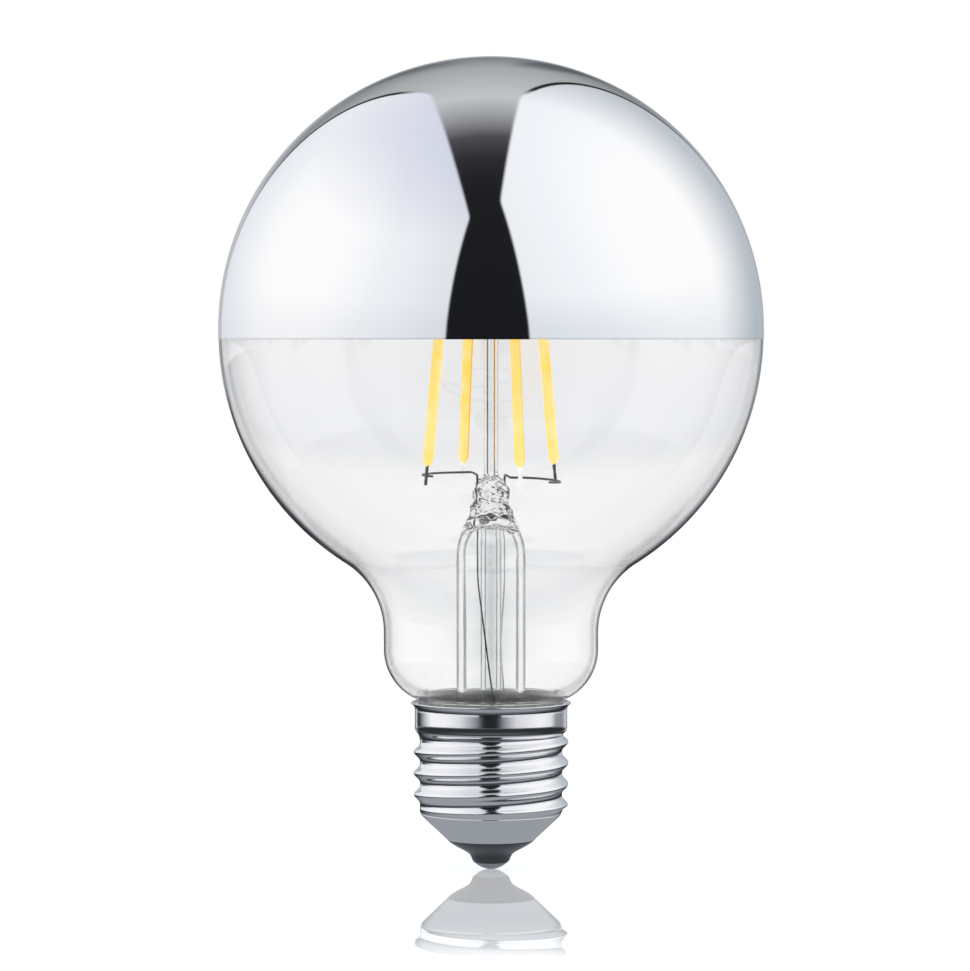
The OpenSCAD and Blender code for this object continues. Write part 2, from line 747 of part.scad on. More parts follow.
// Rubber bung that closes the capacitor, seated on the board
module capacitor_bung() {
    color([0.2, 0.2, 0.2])
        translate([capacitor_at[0], capacitor_at[1], board_top_z])
            cylinder(r = capacitor_d / 2 - can_t - wire_gap, h = bung_h);
}

// Can of the capacitor, crimped over its bung
module capacitor_can() {
    r = capacitor_d / 2;
    color("slategray")
        translate([capacitor_at[0], capacitor_at[1], board_top_z])
            rotate_extrude()
                polygon([[r - can_t, 0.4], [r, 0.4], [r, bung_h], [r - 0.15, bung_h + 0.3], [r, bung_h + 0.6],
                    [r, capacitor_h - 0.3], [r - 0.3, capacitor_h], [0, capacitor_h],
                    [0, bung_h + wire_gap], [r - can_t, bung_h + wire_gap]]);
}

// Fusible resistor standing on the board
module fusible_resistor() {
    color("darkolivegreen")
        translate([resistor_at[0], resistor_at[1], board_top_z]) {
            cylinder(r = 0.3, h = 0.8);
            translate([0, 0, 0.6])
                cylinder(d1 = resistor_d * 0.7, d2 = resistor_d, h = 0.5);
            translate([0, 0, 1.1])
                cylinder(d = resistor_d * 0.92, h = resistor_h - 1);
            translate([0, 0, resistor_h + 0.1])
                cylinder(d1 = resistor_d, d2 = resistor_d * 0.7, h = 0.5);
        }
}

// Ferrite drum of the inductor
module inductor_core() {
    r = inductor_d / 2;
    color([0.25, 0.25, 0.26])
        translate([inductor_at[0], inductor_at[1], board_top_z])
            rotate_extrude()
                polygon([[0, 0], [r, 0], [r, flange_t], [r / 2, flange_t], [r / 2, inductor_h - flange_t],
                    [r, inductor_h - flange_t], [r, inductor_h], [0, inductor_h]]);
}

// Enamelled wire wound on the drum
module inductor_winding() {
    r = inductor_d / 2;
    low = flange_t + wire_gap;
    high = inductor_h - flange_t - wire_gap;
    color("chocolate")
        translate([inductor_at[0], inductor_at[1], board_top_z])
            rotate_extrude()
                polygon([[r / 2 + wire_gap, low], [r - 0.2, low], [r - 0.2, high], [r / 2 + wire_gap, high]]);
}

// Wire from the board down through the insulator to the solder
module centre_wire() {
    color("peru")
        translate([0, 0, tip_h])
            cylinder(r = centre_wire_r, h = board_top_z + 0.3 - tip_h);
}

// Wire from the board to its weld on the inside of the thread
module shell_wire() {
    foot_r = board_r - 1;
    weld_r = root_r - join_step - sheet_t - centre_wire_r - seat_gap - 0.05;
    color("peru")
        wire(rounded_route([[0, foot_r, board_top_z], [0, foot_r, board_top_z + 2.5],
            [0, weld_r, board_top_z + 4], [0, weld_r, board_top_z + 6.5]], 1, 3), centre_wire_r);
}

glass_envelope();
mirror_crown();
stem_flare();
exhaust_tube();
support_rod();
inner_lead(-1, 0);  // inner_lead_left
inner_lead(1, lead_sag);  // inner_lead_right
seal_wire(-1);  // seal_wire_left
seal_wire(1);  // seal_wire_right
outer_lead(-1);  // outer_lead_left
outer_lead(1);  // outer_lead_right
top_wire(first_bearing);  // top_wire_back
top_wire(first_bearing + 180);  // top_wire_front
for (i = FILAMENTS) {
    filament_coat(i);
    filament_strip(i);
    filament_chips(i);
    lower_tab(i);
    upper_tab(i);
}
cap_shell();
cap_insulator();
contact_plate();
solder_tip();
cap_cement();
driver_board();
bridge_rectifier();
driver_chip();
capacitor_can();
capacitor_bung();
fusible_resistor();
inductor_core();
inductor_winding();
centre_wire();
shell_wire();
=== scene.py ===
import math

import bmesh
import bpy
from mathutils import Matrix, Vector


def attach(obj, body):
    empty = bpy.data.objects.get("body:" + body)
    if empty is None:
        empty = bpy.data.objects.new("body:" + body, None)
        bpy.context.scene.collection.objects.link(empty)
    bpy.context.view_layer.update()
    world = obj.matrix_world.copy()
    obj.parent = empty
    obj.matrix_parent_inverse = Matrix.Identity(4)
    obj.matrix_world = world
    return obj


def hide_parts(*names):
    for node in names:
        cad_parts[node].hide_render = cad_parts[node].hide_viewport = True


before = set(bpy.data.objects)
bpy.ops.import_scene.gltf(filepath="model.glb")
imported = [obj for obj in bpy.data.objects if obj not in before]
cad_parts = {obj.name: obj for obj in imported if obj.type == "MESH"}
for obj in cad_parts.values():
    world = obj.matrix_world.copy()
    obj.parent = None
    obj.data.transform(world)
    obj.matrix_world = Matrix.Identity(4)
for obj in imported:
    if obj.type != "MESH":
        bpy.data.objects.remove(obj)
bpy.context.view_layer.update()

# Stem of the lamp, with its rod. A glass tube is flared at its foot, so that it can be melted to the
# globe's skirt, and pressed shut at its top round the lead wires while it is soft; the solid rod with
# its button is drawn on to the pressed top. It is clear, with dark edges, and lumpy where pressed.
MM = 0.001
ROUND = 96


def linear(hex_colour):
    """An sRGB hex colour as linear red, green, blue and alpha."""
    parts = [int(hex_colour[i:i + 2], 16) / 255 for i in (1, 3, 5)]
    return [c / 12.92 if c <= 0.04045 else ((c + 0.055) / 1.055) ** 2.4 for c in parts] + [1.0]


def add(tree, kind, inputs=None, out=0, **settings):
    """Adds a node with its settings, and values or links for its inputs; gives back an output."""
    node = tree.nodes.new(kind)
    for name, value in settings.items():
        setattr(node, name, value)
    for key, value in (inputs or {}).items():
        if isinstance(value, bpy.types.NodeSocket):
            tree.links.new(value, node.inputs[key])
        else:
            node.inputs[key].default_value = value
    return node.outputs[out] if len(node.outputs) else node


def ramp_of(tree, value, stops):
    """A colour ramp over a value from pairs of place and hex colour, in rising order."""
    colour = add(tree, "ShaderNodeValToRGB", {"Fac": value})
    points = colour.node.color_ramp.elements
    points[0].position, points[0].color = stops[0][0], linear(stops[0][1])
    points[1].position, points[1].color = stops[-1][0], linear(stops[-1][1])
    for position, hex_colour in stops[1:-1]:
        points.new(position).color = linear(hex_colour)
    return colour


def finish_of(name, **values):
    """A material with its tree and its Principled shader, values set on the shader's own sockets."""
    made = bpy.data.materials.new(name)
    made.use_nodes = True
    shader = made.node_tree.nodes["Principled BSDF"]
    for key, value in values.items():
        shader.inputs[key.replace("_", " ").title().replace("Ior", "IOR")].default_value = value
    return made, made.node_tree, shader


def skin(name, rings, finish, loop=False, crease=35):
    """Closed mesh over rings of points in millimetres. A ring of one point is a tip."""
    points, faces, starts = [], [], []
    for ring in rings:
        starts.append(len(points))
        points += [tuple(MM * c for c in p) for p in ring]
    pairs = [(i, i + 1) for i in range(len(rings) - 1)] + ([(len(rings) - 1, 0)] if loop else [])
    for a, b in pairs:
        count = max(len(rings[a]), len(rings[b]))
        for k in range(count):
            n = (k + 1) % count
            low = [starts[a] + k, starts[a] + n] if len(rings[a]) > 1 else [starts[a]]
            high = [starts[b] + n, starts[b] + k] if len(rings[b]) > 1 else [starts[b]]
            faces.append(low + high)
    mesh = bpy.data.meshes.new(name)
    mesh.from_pydata(points, [], faces)
    form = bmesh.new()
    form.from_mesh(mesh)
    if form.calc_volume(signed=True) < 0:
        bmesh.ops.reverse_faces(form, faces=form.faces)
    form.to_mesh(mesh)
    form.free()
    mesh.shade_smooth()
    mesh.set_sharp_from_angle(angle=math.radians(crease))
    mesh.materials.append(finish)
    piece = bpy.data.objects.new(name, mesh)
    bpy.context.scene.collection.objects.link(piece)
    return piece


def turned(outline, sides, swell=None):
    """Rings round the axis from an outline of radius and height; swell changes the radius."""
    rings = []
    for r, z in outline:
        if r < 1e-6:
            rings.append([(0, 0, z)])
            continue
        bearings = [2 * math.pi * k / sides for k in range(sides)]
        radii = [swell(b, r, z) if swell else r for b in bearings]
        rings.append([(q * math.cos(b), q * math.sin(b), z) for q, b in zip(radii, bearings)])
    return rings


def arc(x, z, r, start, end, steps):
    """Points along an arc in the plane of radius and height, angles in degrees."""
    turns = [math.radians(start + (end - start) * i / steps) for i in range(steps + 1)]
    return [(x + r * math.cos(a), z + r * math.sin(a)) for a in turns]


def flow(points, steps=6):
    """A smooth curve that passes through a few points in turn."""
    ends = [points[0], *points, points[-1]]
    found = []
    for i in range(1, len(ends) - 2):
        for s in range(steps):
            t = s / steps
            found.append(tuple(
                0.5 * (2 * q + (r - p) * t + (2 * p - 5 * q + 4 * r - u) * t * t
                       + (3 * q - p - 3 * r + u) * t ** 3)
                for p, q, r, u in zip(*ends[i - 1:i + 3])))
    return found + [tuple(points[-1])]


def straight(start, end, steps):
    """Points along a straight line, without its last one."""
    return [tuple(a + (b - a) * i / steps for a, b in zip(start, end)) for i in range(steps)]


def ease(t):
    """Smooth step from 0 to 1."""
    t = min(max(t, 0.0), 1.0)
    return t * t * (3 - 2 * t)


SEAL_Z = 19.987
TUBE_R, TUBE_T = 5.85, 1.0
SKIRT_R = 11.2
FLARE_R = 4.6
STEM_H, CAVITY_H, PINCH_H = 34.5, 3.75, 12.0
TUBE_TOP_Z = SEAL_Z + STEM_H
CAVITY_Z = TUBE_TOP_Z + CAVITY_H
PINCH_TOP_Z = TUBE_TOP_Z + PINCH_H
ROD_R = 1.2
ROD_FOOT_Z = PINCH_TOP_Z + 1.2
BUTTON_Z, BUTTON_R, BUTTON_NECK = 100.736, 2.1, 1.72

stem_glass, tree, shader = finish_of(
    "drawn_stem_glass", base_color=linear("#feffff"), roughness=0.02, ior=1.53, transmission_weight=1.0)
place = add(tree, "ShaderNodeTexCoord", out="Object")
# Draw lines about 0.7 mm apart, long along the axis
stretched = add(tree, "ShaderNodeMapping", {"Vector": place, "Scale": (1400.0, 1400.0, 90.0)})
lines = add(tree, "ShaderNodeTexNoise", {"Vector": stretched, "Scale": 1.0, "Detail": 2.0})
uneven = add(tree, "ShaderNodeBump", {"Height": lines, "Strength": 0.3, "Distance": 0.02 * MM})
tree.links.new(uneven, shader.inputs["Normal"])


def pressed(bearing, r, z):
    """Flat sides, folds and lumps of the pinch, which grow out of the round tube."""
    share = ease((z - TUBE_TOP_Z - 1.0) / 5.5) * ease((PINCH_TOP_Z + 0.4 - z) / 1.2)
    flat = 1 - 0.2 * share * math.sin(bearing) ** 2
    lump = 0.14 * math.sin(2.3 * z + 2.0 * math.sin(bearing)) + 0.1 * math.sin(3 * bearing + 1.4 * z)
    lump += 0.09 * math.sin(5 * bearing - 3.1 * z) + 0.05 * math.sin(9 * bearing + 5.2 * z)
    return r * flat + lump * share


head = arc(0, BUTTON_Z, BUTTON_R, 90, -52, 20)
rod = straight((ROD_R, BUTTON_Z - BUTTON_NECK), (ROD_R, ROD_FOOT_Z), 24)
shoulder = flow([
    (ROD_R, ROD_FOOT_Z), (ROD_R, PINCH_TOP_Z + 0.45), (1.42, PINCH_TOP_Z - 0.1),
    (2.0, PINCH_TOP_Z - 0.6), (2.7, PINCH_TOP_Z - 1.4), (3.0, PINCH_TOP_Z - 2.6),
    (3.06, PINCH_TOP_Z - 4.2), (3.5, PINCH_TOP_Z - 6.0), (4.4, PINCH_TOP_Z - 8.0),
    (5.15, PINCH_TOP_Z - 9.8), (5.72, TUBE_TOP_Z + 0.2), (TUBE_R, TUBE_TOP_Z - 2.0)], 8)
tube_wall = straight((TUBE_R, TUBE_TOP_Z - 4.0), (TUBE_R, SEAL_Z + FLARE_R), 12)
flare = arc(TUBE_R + FLARE_R, SEAL_Z + FLARE_R, FLARE_R, 180, 268, 24) + [(SKIRT_R, SEAL_Z)]
outside = [(0, BUTTON_Z + BUTTON_R)] + head[1:] + rod + shoulder + tube_wall + flare
bore_r = TUBE_R - TUBE_T
inside = [(SKIRT_R, SEAL_Z - TUBE_T)]
inside += arc(TUBE_R + FLARE_R, SEAL_Z + FLARE_R, FLARE_R + TUBE_T, 268, 180, 24)
inside += [(bore_r, SEAL_Z + 16.0), (bore_r, TUBE_TOP_Z - 6.0)]
inside += flow([
    (bore_r, TUBE_TOP_Z - 2.0), (bore_r, TUBE_TOP_Z - 0.6), (4.45, TUBE_TOP_Z + 1.2),
    (3.75, TUBE_TOP_Z + 2.5), (2.8, TUBE_TOP_Z + 3.4), (1.2, CAVITY_Z - 0.02)], 6) + [(0, CAVITY_Z)]
stem = skin("stem_glass_body", turned(outside, ROUND, pressed) + turned(inside, ROUND), stem_glass)

# Folds and bubbles shut in when the glass was pressed: place, half width and half height in mm
FOLDS = [
    (0.9, -0.7, 64.9, 0.3, 0.55), (-0.6, 0.4, 63.4, 0.24, 0.75), (0.3, -1.0, 62.5, 0.5, 0.22),
    (1.5, 0.2, 62.0, 0.2, 0.6), (-1.2, -0.8, 65.0, 0.2, 0.4), (0.2, 0.9, 60.8, 0.9, 0.16),
    (-1.4, 0.5, 61.6, 0.26, 0.5), (1.1, 0.7, 63.6, 0.16, 0.5), (-0.2, -0.6, 65.6, 0.45, 0.14),
    (0.6, 0.2, 60.0, 0.5, 0.2), (-0.9, -0.9, 60.3, 0.4, 0.18), (1.6, -0.6, 60.6, 0.2, 0.3)]
form = bmesh.new()
form.from_mesh(stem.data)
for x, y, z, wide, high in FOLDS:
    placed = Matrix.Translation((x * MM, y * MM, z * MM))
    stretched = Matrix.Diagonal((wide * MM, wide * MM, high * MM, 1))
    bubble = bmesh.ops.create_uvsphere(
        form, u_segments=20, v_segments=12, radius=1.0, matrix=placed @ stretched)
    bubble_faces = list({face for vertex in bubble["verts"] for face in vertex.link_faces})
    for face in bubble_faces:
        face.smooth = True
    # Its surface faces inwards, as it is a hollow in the glass
    bmesh.ops.reverse_faces(form, faces=bubble_faces)
form.to_mesh(stem.data)
form.free()
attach(stem, "root")
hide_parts("stem_flare", "support_rod")

# Exhaust tube. A thinner tube of the same glass hangs inside the stem from the pinch; the lamp was
# emptied and filled through it, and its end was then melted shut, inside the cap.
EXHAUST_R, EXHAUST_T = 1.8, 0.6
EXHAUST_END_Z = SEAL_Z - 6.0
exhaust_bore_r = EXHAUST_R - EXHAUST_T
tip = arc(0, EXHAUST_END_Z + EXHAUST_R, EXHAUST_R, -90, 0, 12)[1:]
hollow = arc(0, EXHAUST_END_Z + EXHAUST_R + EXHAUST_T, exhaust_bore_r, 0, -90, 12)[:-1]
top_z = CAVITY_Z - 0.3
exhaust_outline = [(0, EXHAUST_END_Z)] + tip + [
    (EXHAUST_R, top_z - 20), (EXHAUST_R, top_z), (exhaust_bore_r, top_z), (exhaust_bore_r, top_z - 20)]
exhaust_outline += hollow + [(0, EXHAUST_END_Z + 2 * EXHAUST_T)]
exhaust = skin("exhaust_tube_glass", turned(exhaust_outline, 64), stem_glass)
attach(exhaust, "root")
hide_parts("exhaust_tube")

# Lead wires. On each side a thick nickel-plated wire is butt-welded to a short thin seal wire, whose
# expansion matches the glass, and that to a thin copper wire which runs down the stem to the driver.
# The nickel looks dark and satin, the seal wire pale in the glass, the copper thin and brown-black.
LEAD_R, SEAL_WIRE_R = 0.2, 0.13
LEAD_X, LEAD_Y = 2.3, 0.8
SEAL_LOW_Z = CAVITY_Z + 0.3
SEAL_HIGH_Z = SEAL_LOW_Z + 3.1
LEAD_Z = PINCH_TOP_Z + 0.2
COAT_Z = PINCH_TOP_Z + 1.8
RING_R, LEAN, FIRST_BEARING = 11.8, math.radians(5.4), 24.0
COAT_LEN, TAB_OUT = 30.0, 3.2
TOP_WIRE_Z = COAT_Z + (COAT_LEN + TAB_OUT / 2) * math.cos(LEAN)
BOARD_TOP_Z = 9.48
# The tabs' thickness, the gap at a weld, and how far a lead runs past its tabs, in degrees
TAB_T, WELD_GAP, LEAD_OVER = 0.25, 0.02, 7.5
LEAD_STEPS = 44


def tube(name, route, r, finish, sides=16):
    """Round wire along a route in millimetres, with flat ends."""
    route = [Vector(p) for p in route]
    last = len(route) - 1
    side = Vector((0.31, 0.87, 0.38))
    rings = [[tuple(route[0])]]
    for i, point in enumerate(route):
        axis = (route[min(i + 1, last)] - route[max(i - 1, 0)]).normalized()
        side = (side - side.dot(axis) * axis).normalized()
        other = axis.cross(side)
        rings.append([tuple(point + r * (math.cos(a) * side + math.sin(a) * other))
                      for a in (2 * math.pi * k / sides for k in range(sides))])
    rings.append([tuple(route[-1])])
    return skin(name, rings, finish, crease=50)


def rounded(points, reach, steps=8):
    """Straight runs with each corner rounded over a length on both sides."""
    points = [Vector(p) for p in points]
    found = [points[0]]
    for back, here, ahead in zip(points, points[1:], points[2:]):
        cut = min(reach, (back - here).length * 0.45, (ahead - here).length * 0.45)
        a = here + (back - here).normalized() * cut
        b = here + (ahead - here).normalized() * cut
        for s in range(steps + 1):
            t = s / steps
            found.append((1 - t) ** 2 * a + 2 * t * (1 - t) * here + t * t * b)
    return found + [points[-1]]


def on_ring(bearing, z):
    """A point inside the ring of filaments, where a wire is welded to their tabs."""
    r = RING_R - (z - COAT_Z) * math.tan(LEAN) - (TAB_T / 2 + LEAD_R + WELD_GAP) / math.cos(LEAN)
    turn = math.radians(bearing)
    return (r * math.cos(turn), r * math.sin(turn), z)


def satin_wire(name, colour, roughness):
    """Drawn wire: metal with fine marks about 0.15 mm apart."""
    made, tree, shader = finish_of(name, base_color=linear(colour), metallic=1.0, roughness=roughness)
    place = add(tree, "ShaderNodeTexCoord", out="Object")
    marks = add(tree, "ShaderNodeTexNoise", {"Vector": place, "Scale": 6500.0, "Detail": 3.0})
    rough = add(tree, "ShaderNodeMapRange", {
        "Value": marks, "To Min": roughness - 0.1, "To Max": roughness + 0.15})
    bump = add(tree, "ShaderNodeBump", {"Height": marks, "Strength": 0.3, "Distance": 0.01 * MM})
    tree.links.new(rough, shader.inputs["Roughness"])
    tree.links.new(bump, shader.inputs["Normal"])
    return made


nickel_wire = satin_wire("nickel_plated_wire", "#4c4a49", 0.38)
seal_wire = satin_wire("bare_seal_wire", "#e6e0da", 0.3)
dark_copper = satin_wire("oxidised_copper_wire", "#4b3a30", 0.4)
tinned_copper = satin_wire("tinned_copper_wire", "#dcdad8", 0.3)

for name, side, sag in (("inner_lead_left", -1, 0.0), ("inner_lead_right", 1, 1.6)):
    start = FIRST_BEARING + (90 if side < 0 else 270) - LEAD_OVER
    turns = [i / LEAD_STEPS for i in range(1, LEAD_STEPS + 1)]
    ring = [on_ring(start + (90 + 2 * LEAD_OVER) * t, LEAD_Z - sag * ease(t)) for t in turns]
    rise = rounded([
        (side * LEAD_X, side * LEAD_Y, SEAL_HIGH_Z), (side * LEAD_X, side * LEAD_Y, LEAD_Z),
        on_ring(start, LEAD_Z), ring[3]], 1.6, 12)
    lead = tube(name + "_wire", rise + ring[4:], LEAD_R, nickel_wire)
    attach(lead, "root")
    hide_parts(name)

for name, bearing in (("top_wire_back", FIRST_BEARING), ("top_wire_front", FIRST_BEARING + 180)):
    start = bearing - LEAD_OVER
    turn = math.radians(bearing)
    ring = [on_ring(start + (90 + 2 * LEAD_OVER) * i / LEAD_STEPS, TOP_WIRE_Z)
            for i in range(1, LEAD_STEPS + 1)]
    reach = rounded([
        (ROD_R * 2 / 3 * math.cos(turn), ROD_R * 2 / 3 * math.sin(turn), BUTTON_Z),
        ((BUTTON_R + 1) * math.cos(turn), (BUTTON_R + 1) * math.sin(turn), BUTTON_Z),
        on_ring(start, TOP_WIRE_Z), ring[3]], 1.0, 8)
    wire = tube(name + "_wire", reach + ring[4:], LEAD_R, nickel_wire)
    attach(wire, "root")
    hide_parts(name)

# The two copper wires' ways down the stem: x and y in mm, and the share of the drop left below
WAYS = {
    -1: [(-2.2, -1.6, 0.82), (-0.9, -2.6, 0.6), (0.3, -3.0, 0.4), (1.0, -3.6, 0.22)],
    1: [(2.4, 1.8, 0.82), (1.7, 2.7, 0.58), (2.4, 2.4, 0.38), (1.6, 3.4, 0.22)],
}
FEET = {-1: (1.6, -5.2), 1: (1.2, 5.6)}
for name, side, finish in (("left", -1, dark_copper), ("right", 1, tinned_copper)):
    x, y = side * LEAD_X, side * LEAD_Y
    ends = [(x, y, SEAL_LOW_Z), (x, y, SEAL_HIGH_Z)]
    seal = tube("seal_wire_" + name + "_bare", ends, SEAL_WIRE_R, seal_wire)
    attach(seal, "root")
    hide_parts("seal_wire_" + name)
    drop = SEAL_LOW_Z - BOARD_TOP_Z
    way = [(px, py, BOARD_TOP_Z + share * drop) for px, py, share in WAYS[side]]
    foot_x, foot_y = FEET[side]
    route = rounded([(x, y, SEAL_LOW_Z), (x, y, SEAL_LOW_Z - 1)] + way + [
        (foot_x, foot_y, BOARD_TOP_Z + 2), (foot_x, foot_y, BOARD_TOP_Z)], 2.5)
    lead = tube("outer_lead_" + name + "_copper", route, SEAL_WIRE_R, finish)
    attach(lead, "root")
    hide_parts("outer_lead_" + name)

# Filaments. Four ceramic strips carry rows of light chips and a stamped metal tab at each end; each
# was laid in a mould and coated all round with silicone full of yellow phosphor, then welded between
# a lead and a top wire. The coat is matt and egg-yellow and glows with painted light; two coats carry
# a browner band of painted shade down one side.
COAT_R, COAT_TIP, COAT_ROUND = 0.9, 1.3, 0.38
COAT_STEPS, COAT_SIDES = 90, 32
TAB_W, TAB_IN, TAB_WAIST = 0.9, 0.8, 1.3
TAB_STEPS = 24

# The emission set here is painted light
phosphor_coat, tree, shader = finish_of(
    "phosphor_silicone_painted_glow", base_color=linear("#ffd56c"), roughness=0.5, ior=1.41,
    emission_strength=0.78)
place = add(tree, "ShaderNodeTexCoord", out="Object")
blotches = add(tree, "ShaderNodeTexNoise", {"Vector": place, "Scale": 420.0, "Detail": 2.0})
grain = add(tree, "ShaderNodeTexNoise", {"Vector": place, "Scale": 5200.0, "Detail": 2.0})
yellow = ramp_of(tree, blotches, [(0.3, "#ffd362"), (0.7, "#ffdf92")])
# Painted shade: a browner band down one side of two coats
side_shade = add(tree, "ShaderNodeAttribute", out="Fac", attribute_name="painted_side_shade")
tint = add(tree, "ShaderNodeMix", {"Factor": side_shade, "A": yellow, "B": linear("#dba64e")},
           out="Result", data_type="RGBA")
dimple = add(tree, "ShaderNodeBump", {"Height": grain, "Strength": 0.35, "Distance": 0.03 * MM})
tree.links.new(tint, shader.inputs["Base Color"])
# Painted light: the coat's yellow is also its emission, so it glows though the lamp is off
tree.links.new(tint, shader.inputs["Emission Color"])
tree.links.new(dimple, shader.inputs["Normal"])

# Two of the tabs glow white with emission: painted light on the stamped metal
glow_painted_tab, tree, shader = finish_of(
    "stamped_tab_painted_glow", base_color=linear("#fdfdfc"), roughness=0.4, emission_strength=0.6)
place = add(tree, "ShaderNodeTexCoord", out="Object")
marks = add(tree, "ShaderNodeTexNoise", {"Vector": place, "Scale": 2600.0, "Detail": 2.0})
pale = ramp_of(tree, marks, [(0.35, "#e9eaec"), (0.65, "#ffffff")])
tree.links.new(pale, shader.inputs["Base Color"])
tree.links.new(pale, shader.inputs["Emission Color"])
# The other two tabs are darkened: painted shade on the same stamped metal
shade_painted_tab = satin_wire("stamped_tab_painted_shade", "#3f3d3c", 0.4)

white_ceramic, tree, shader = finish_of("white_ceramic", base_color=linear("#e9e6df"), roughness=0.55)
place = add(tree, "ShaderNodeTexCoord", out="Object")
grains = add(tree, "ShaderNodeTexNoise", {"Vector": place, "Scale": 3000.0, "Detail": 3.0})
bump = add(tree, "ShaderNodeBump", {"Height": grains, "Strength": 0.3, "Distance": 0.01 * MM})
tree.links.new(bump, shader.inputs["Normal"])

blue_chip, tree, shader = finish_of("sapphire_chip", base_color=linear("#5f86c8"), roughness=0.2, ior=1.77)
place = add(tree, "ShaderNodeTexCoord", out="Object")
# Chips and the gold wires between them, about 0.2 mm apart
grid = add(tree, "ShaderNodeTexWave", {"Vector": place, "Scale": 1600.0}, bands_direction="Z")
colour = add(tree, "ShaderNodeMix", {"Factor": grid, "A": linear("#4c70b4"), "B": linear("#b9a45c")},
             out="Result", data_type="RGBA")
tree.links.new(colour, shader.inputs["Base Color"])


def at_filament(i, point):
    """A point given in a filament's own directions, set on the ring and leant inwards."""
    x, y, z = point
    outward = RING_R + x * math.cos(LEAN) - z * math.sin(LEAN)
    height = COAT_Z + x * math.sin(LEAN) + z * math.cos(LEAN)
    turn = math.radians(FIRST_BEARING + 90 * i)
    ux, uy = math.cos(turn), math.sin(turn)
    return (outward * ux - y * uy, outward * uy + y * ux, height)


def coat_rings(i):
    """Rings of one coat: a slightly uneven stick that draws in at its lower end."""
    rings = [[at_filament(i, (0, 0, 0.0))]]
    for s in range(COAT_STEPS + 1):
        z = COAT_LEN * (0.5 - 0.5 * math.cos(math.pi * s / COAT_STEPS))
        draw = 0.5 + 0.5 * ease(z / COAT_TIP)
        end = math.sqrt(max(1e-4, 1 - max(0.0, 1 - min(z, COAT_LEN - z) / COAT_ROUND) ** 2))
        uneven = 0.985 + 0.015 * math.sin(0.9 * z + 2 * i) * math.sin(0.31 * z + i)
        r = COAT_R * draw * end * uneven
        rings.append([at_filament(i, (r * math.cos(a), r * math.sin(a), z))
                      for a in (2 * math.pi * k / COAT_SIDES for k in range(COAT_SIDES))])
    rings.append([at_filament(i, (0, 0, COAT_LEN))])
    return rings


def tab_rings(i, low, high, waist):
    """Rings of one stamped tab with rounded edges, narrowed at its waist."""
    rings = [[at_filament(i, (0, 0, low))]]
    for s in range(TAB_STEPS + 1):
        z = low + (high - low) * s / TAB_STEPS
        at_end = s in (0, TAB_STEPS)
        half = TAB_W / 2 * (1 - 0.32 * math.exp(-((z - waist) / 0.45) ** 2))
        half *= 0.86 if at_end else 1.0
        thick = TAB_T / 2 * (0.8 if at_end else 1.0)
        corner = thick * 0.5
        ring = []
        for cx, cy, first in ((1, 1, 0), (-1, 1, 90), (-1, -1, 180), (1, -1, 270)):
            for step in range(4):
                a = math.radians(first + 30 * step)
                x = cx * (thick - corner) + corner * math.cos(a)
                y = cy * (half - corner) + corner * math.sin(a)
                ring.append(at_filament(i, (x, y, z)))
        rings.append(ring)
    rings.append([at_filament(i, (0, 0, high))])
    return rings


# Bearing on a coat where a band of painted shade lies, and that band's half width and fade in degrees
SHADE_BEARINGS = {1: 232.0, 3: 66.0}
SHADE_HALF, SHADE_FADE = 14, 22
TABS = (("lower_tab_", -TAB_OUT, TAB_IN, -TAB_WAIST),
        ("upper_tab_", COAT_LEN - TAB_IN, COAT_LEN + TAB_OUT, COAT_LEN + TAB_WAIST))
for i in range(4):
    number = str(i + 1)
    coat = skin("phosphor_stick_" + number, coat_rings(i), phosphor_coat)
    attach(coat, "root")
    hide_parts("filament_coat_" + number)
    band = coat.data.attributes.new("painted_side_shade", "FLOAT", "POINT")
    if i in SHADE_BEARINGS:
        for index in range(1, len(band.data) - 1):
            side = 360 * ((index - 1) % COAT_SIDES) / COAT_SIDES
            off = (side - SHADE_BEARINGS[i] + 180) % 360 - 180
            band.data[index].value = ease(1.0 - max(0.0, abs(off) - SHADE_HALF) / SHADE_FADE)
    for name, low, high, waist in TABS:
        # Inner tabs get the painted glow, outer tabs the painted shade
        tab_finish = glow_painted_tab if i % 2 else shade_painted_tab
        tab = skin(name + number + "_stamped", tab_rings(i, low, high, waist), tab_finish)
        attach(tab, "root")
        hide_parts(name + number)
    for name, made in (("filament_strip_", white_ceramic), ("filament_chips_", blue_chip)):
        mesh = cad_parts[name + number].data
        mesh.materials.clear()
        mesh.materials.append(made)

# Globe. Soda-lime glass blown in a mould, thinnest round its widest part, drawn in to a neck with a
# round shoulder and melted to the stem at the end of its skirt. Clear, with thin dark edges and the
# faint waves that blowing leaves.
GLOBE_R = 46.15
LOW_GLOBE_Z, TOP_GLOBE_Z = 91.143, 91.643
THROAT_X, THROAT_Z, THROAT_R = 32.2, 40.337, 14.0
SHOULDER_X, SHOULDER_Z, SHOULDER_R = 9.0, 37.487, 9.2
SKIRT_X, SKIRT_Z, SKIRT_BEND_R = 12.4, 27.658, 1.2
SKIRT_A = 70.918
THROAT_A = math.degrees(math.atan2(LOW_GLOBE_Z - THROAT_Z, THROAT_X))
WALL_THIN, WALL_THICK = 0.45, 0.75
THIN_Z, THICKEN_H = 75.0, 22.0
GLOBE_SIDES = 256

clear_glass, tree, shader = finish_of(
    "clear_blown_glass", base_color=linear("#fefefe"), roughness=0.02, ior=1.52, transmission_weight=1.0)
place = add(tree, "ShaderNodeTexCoord", out="Object")
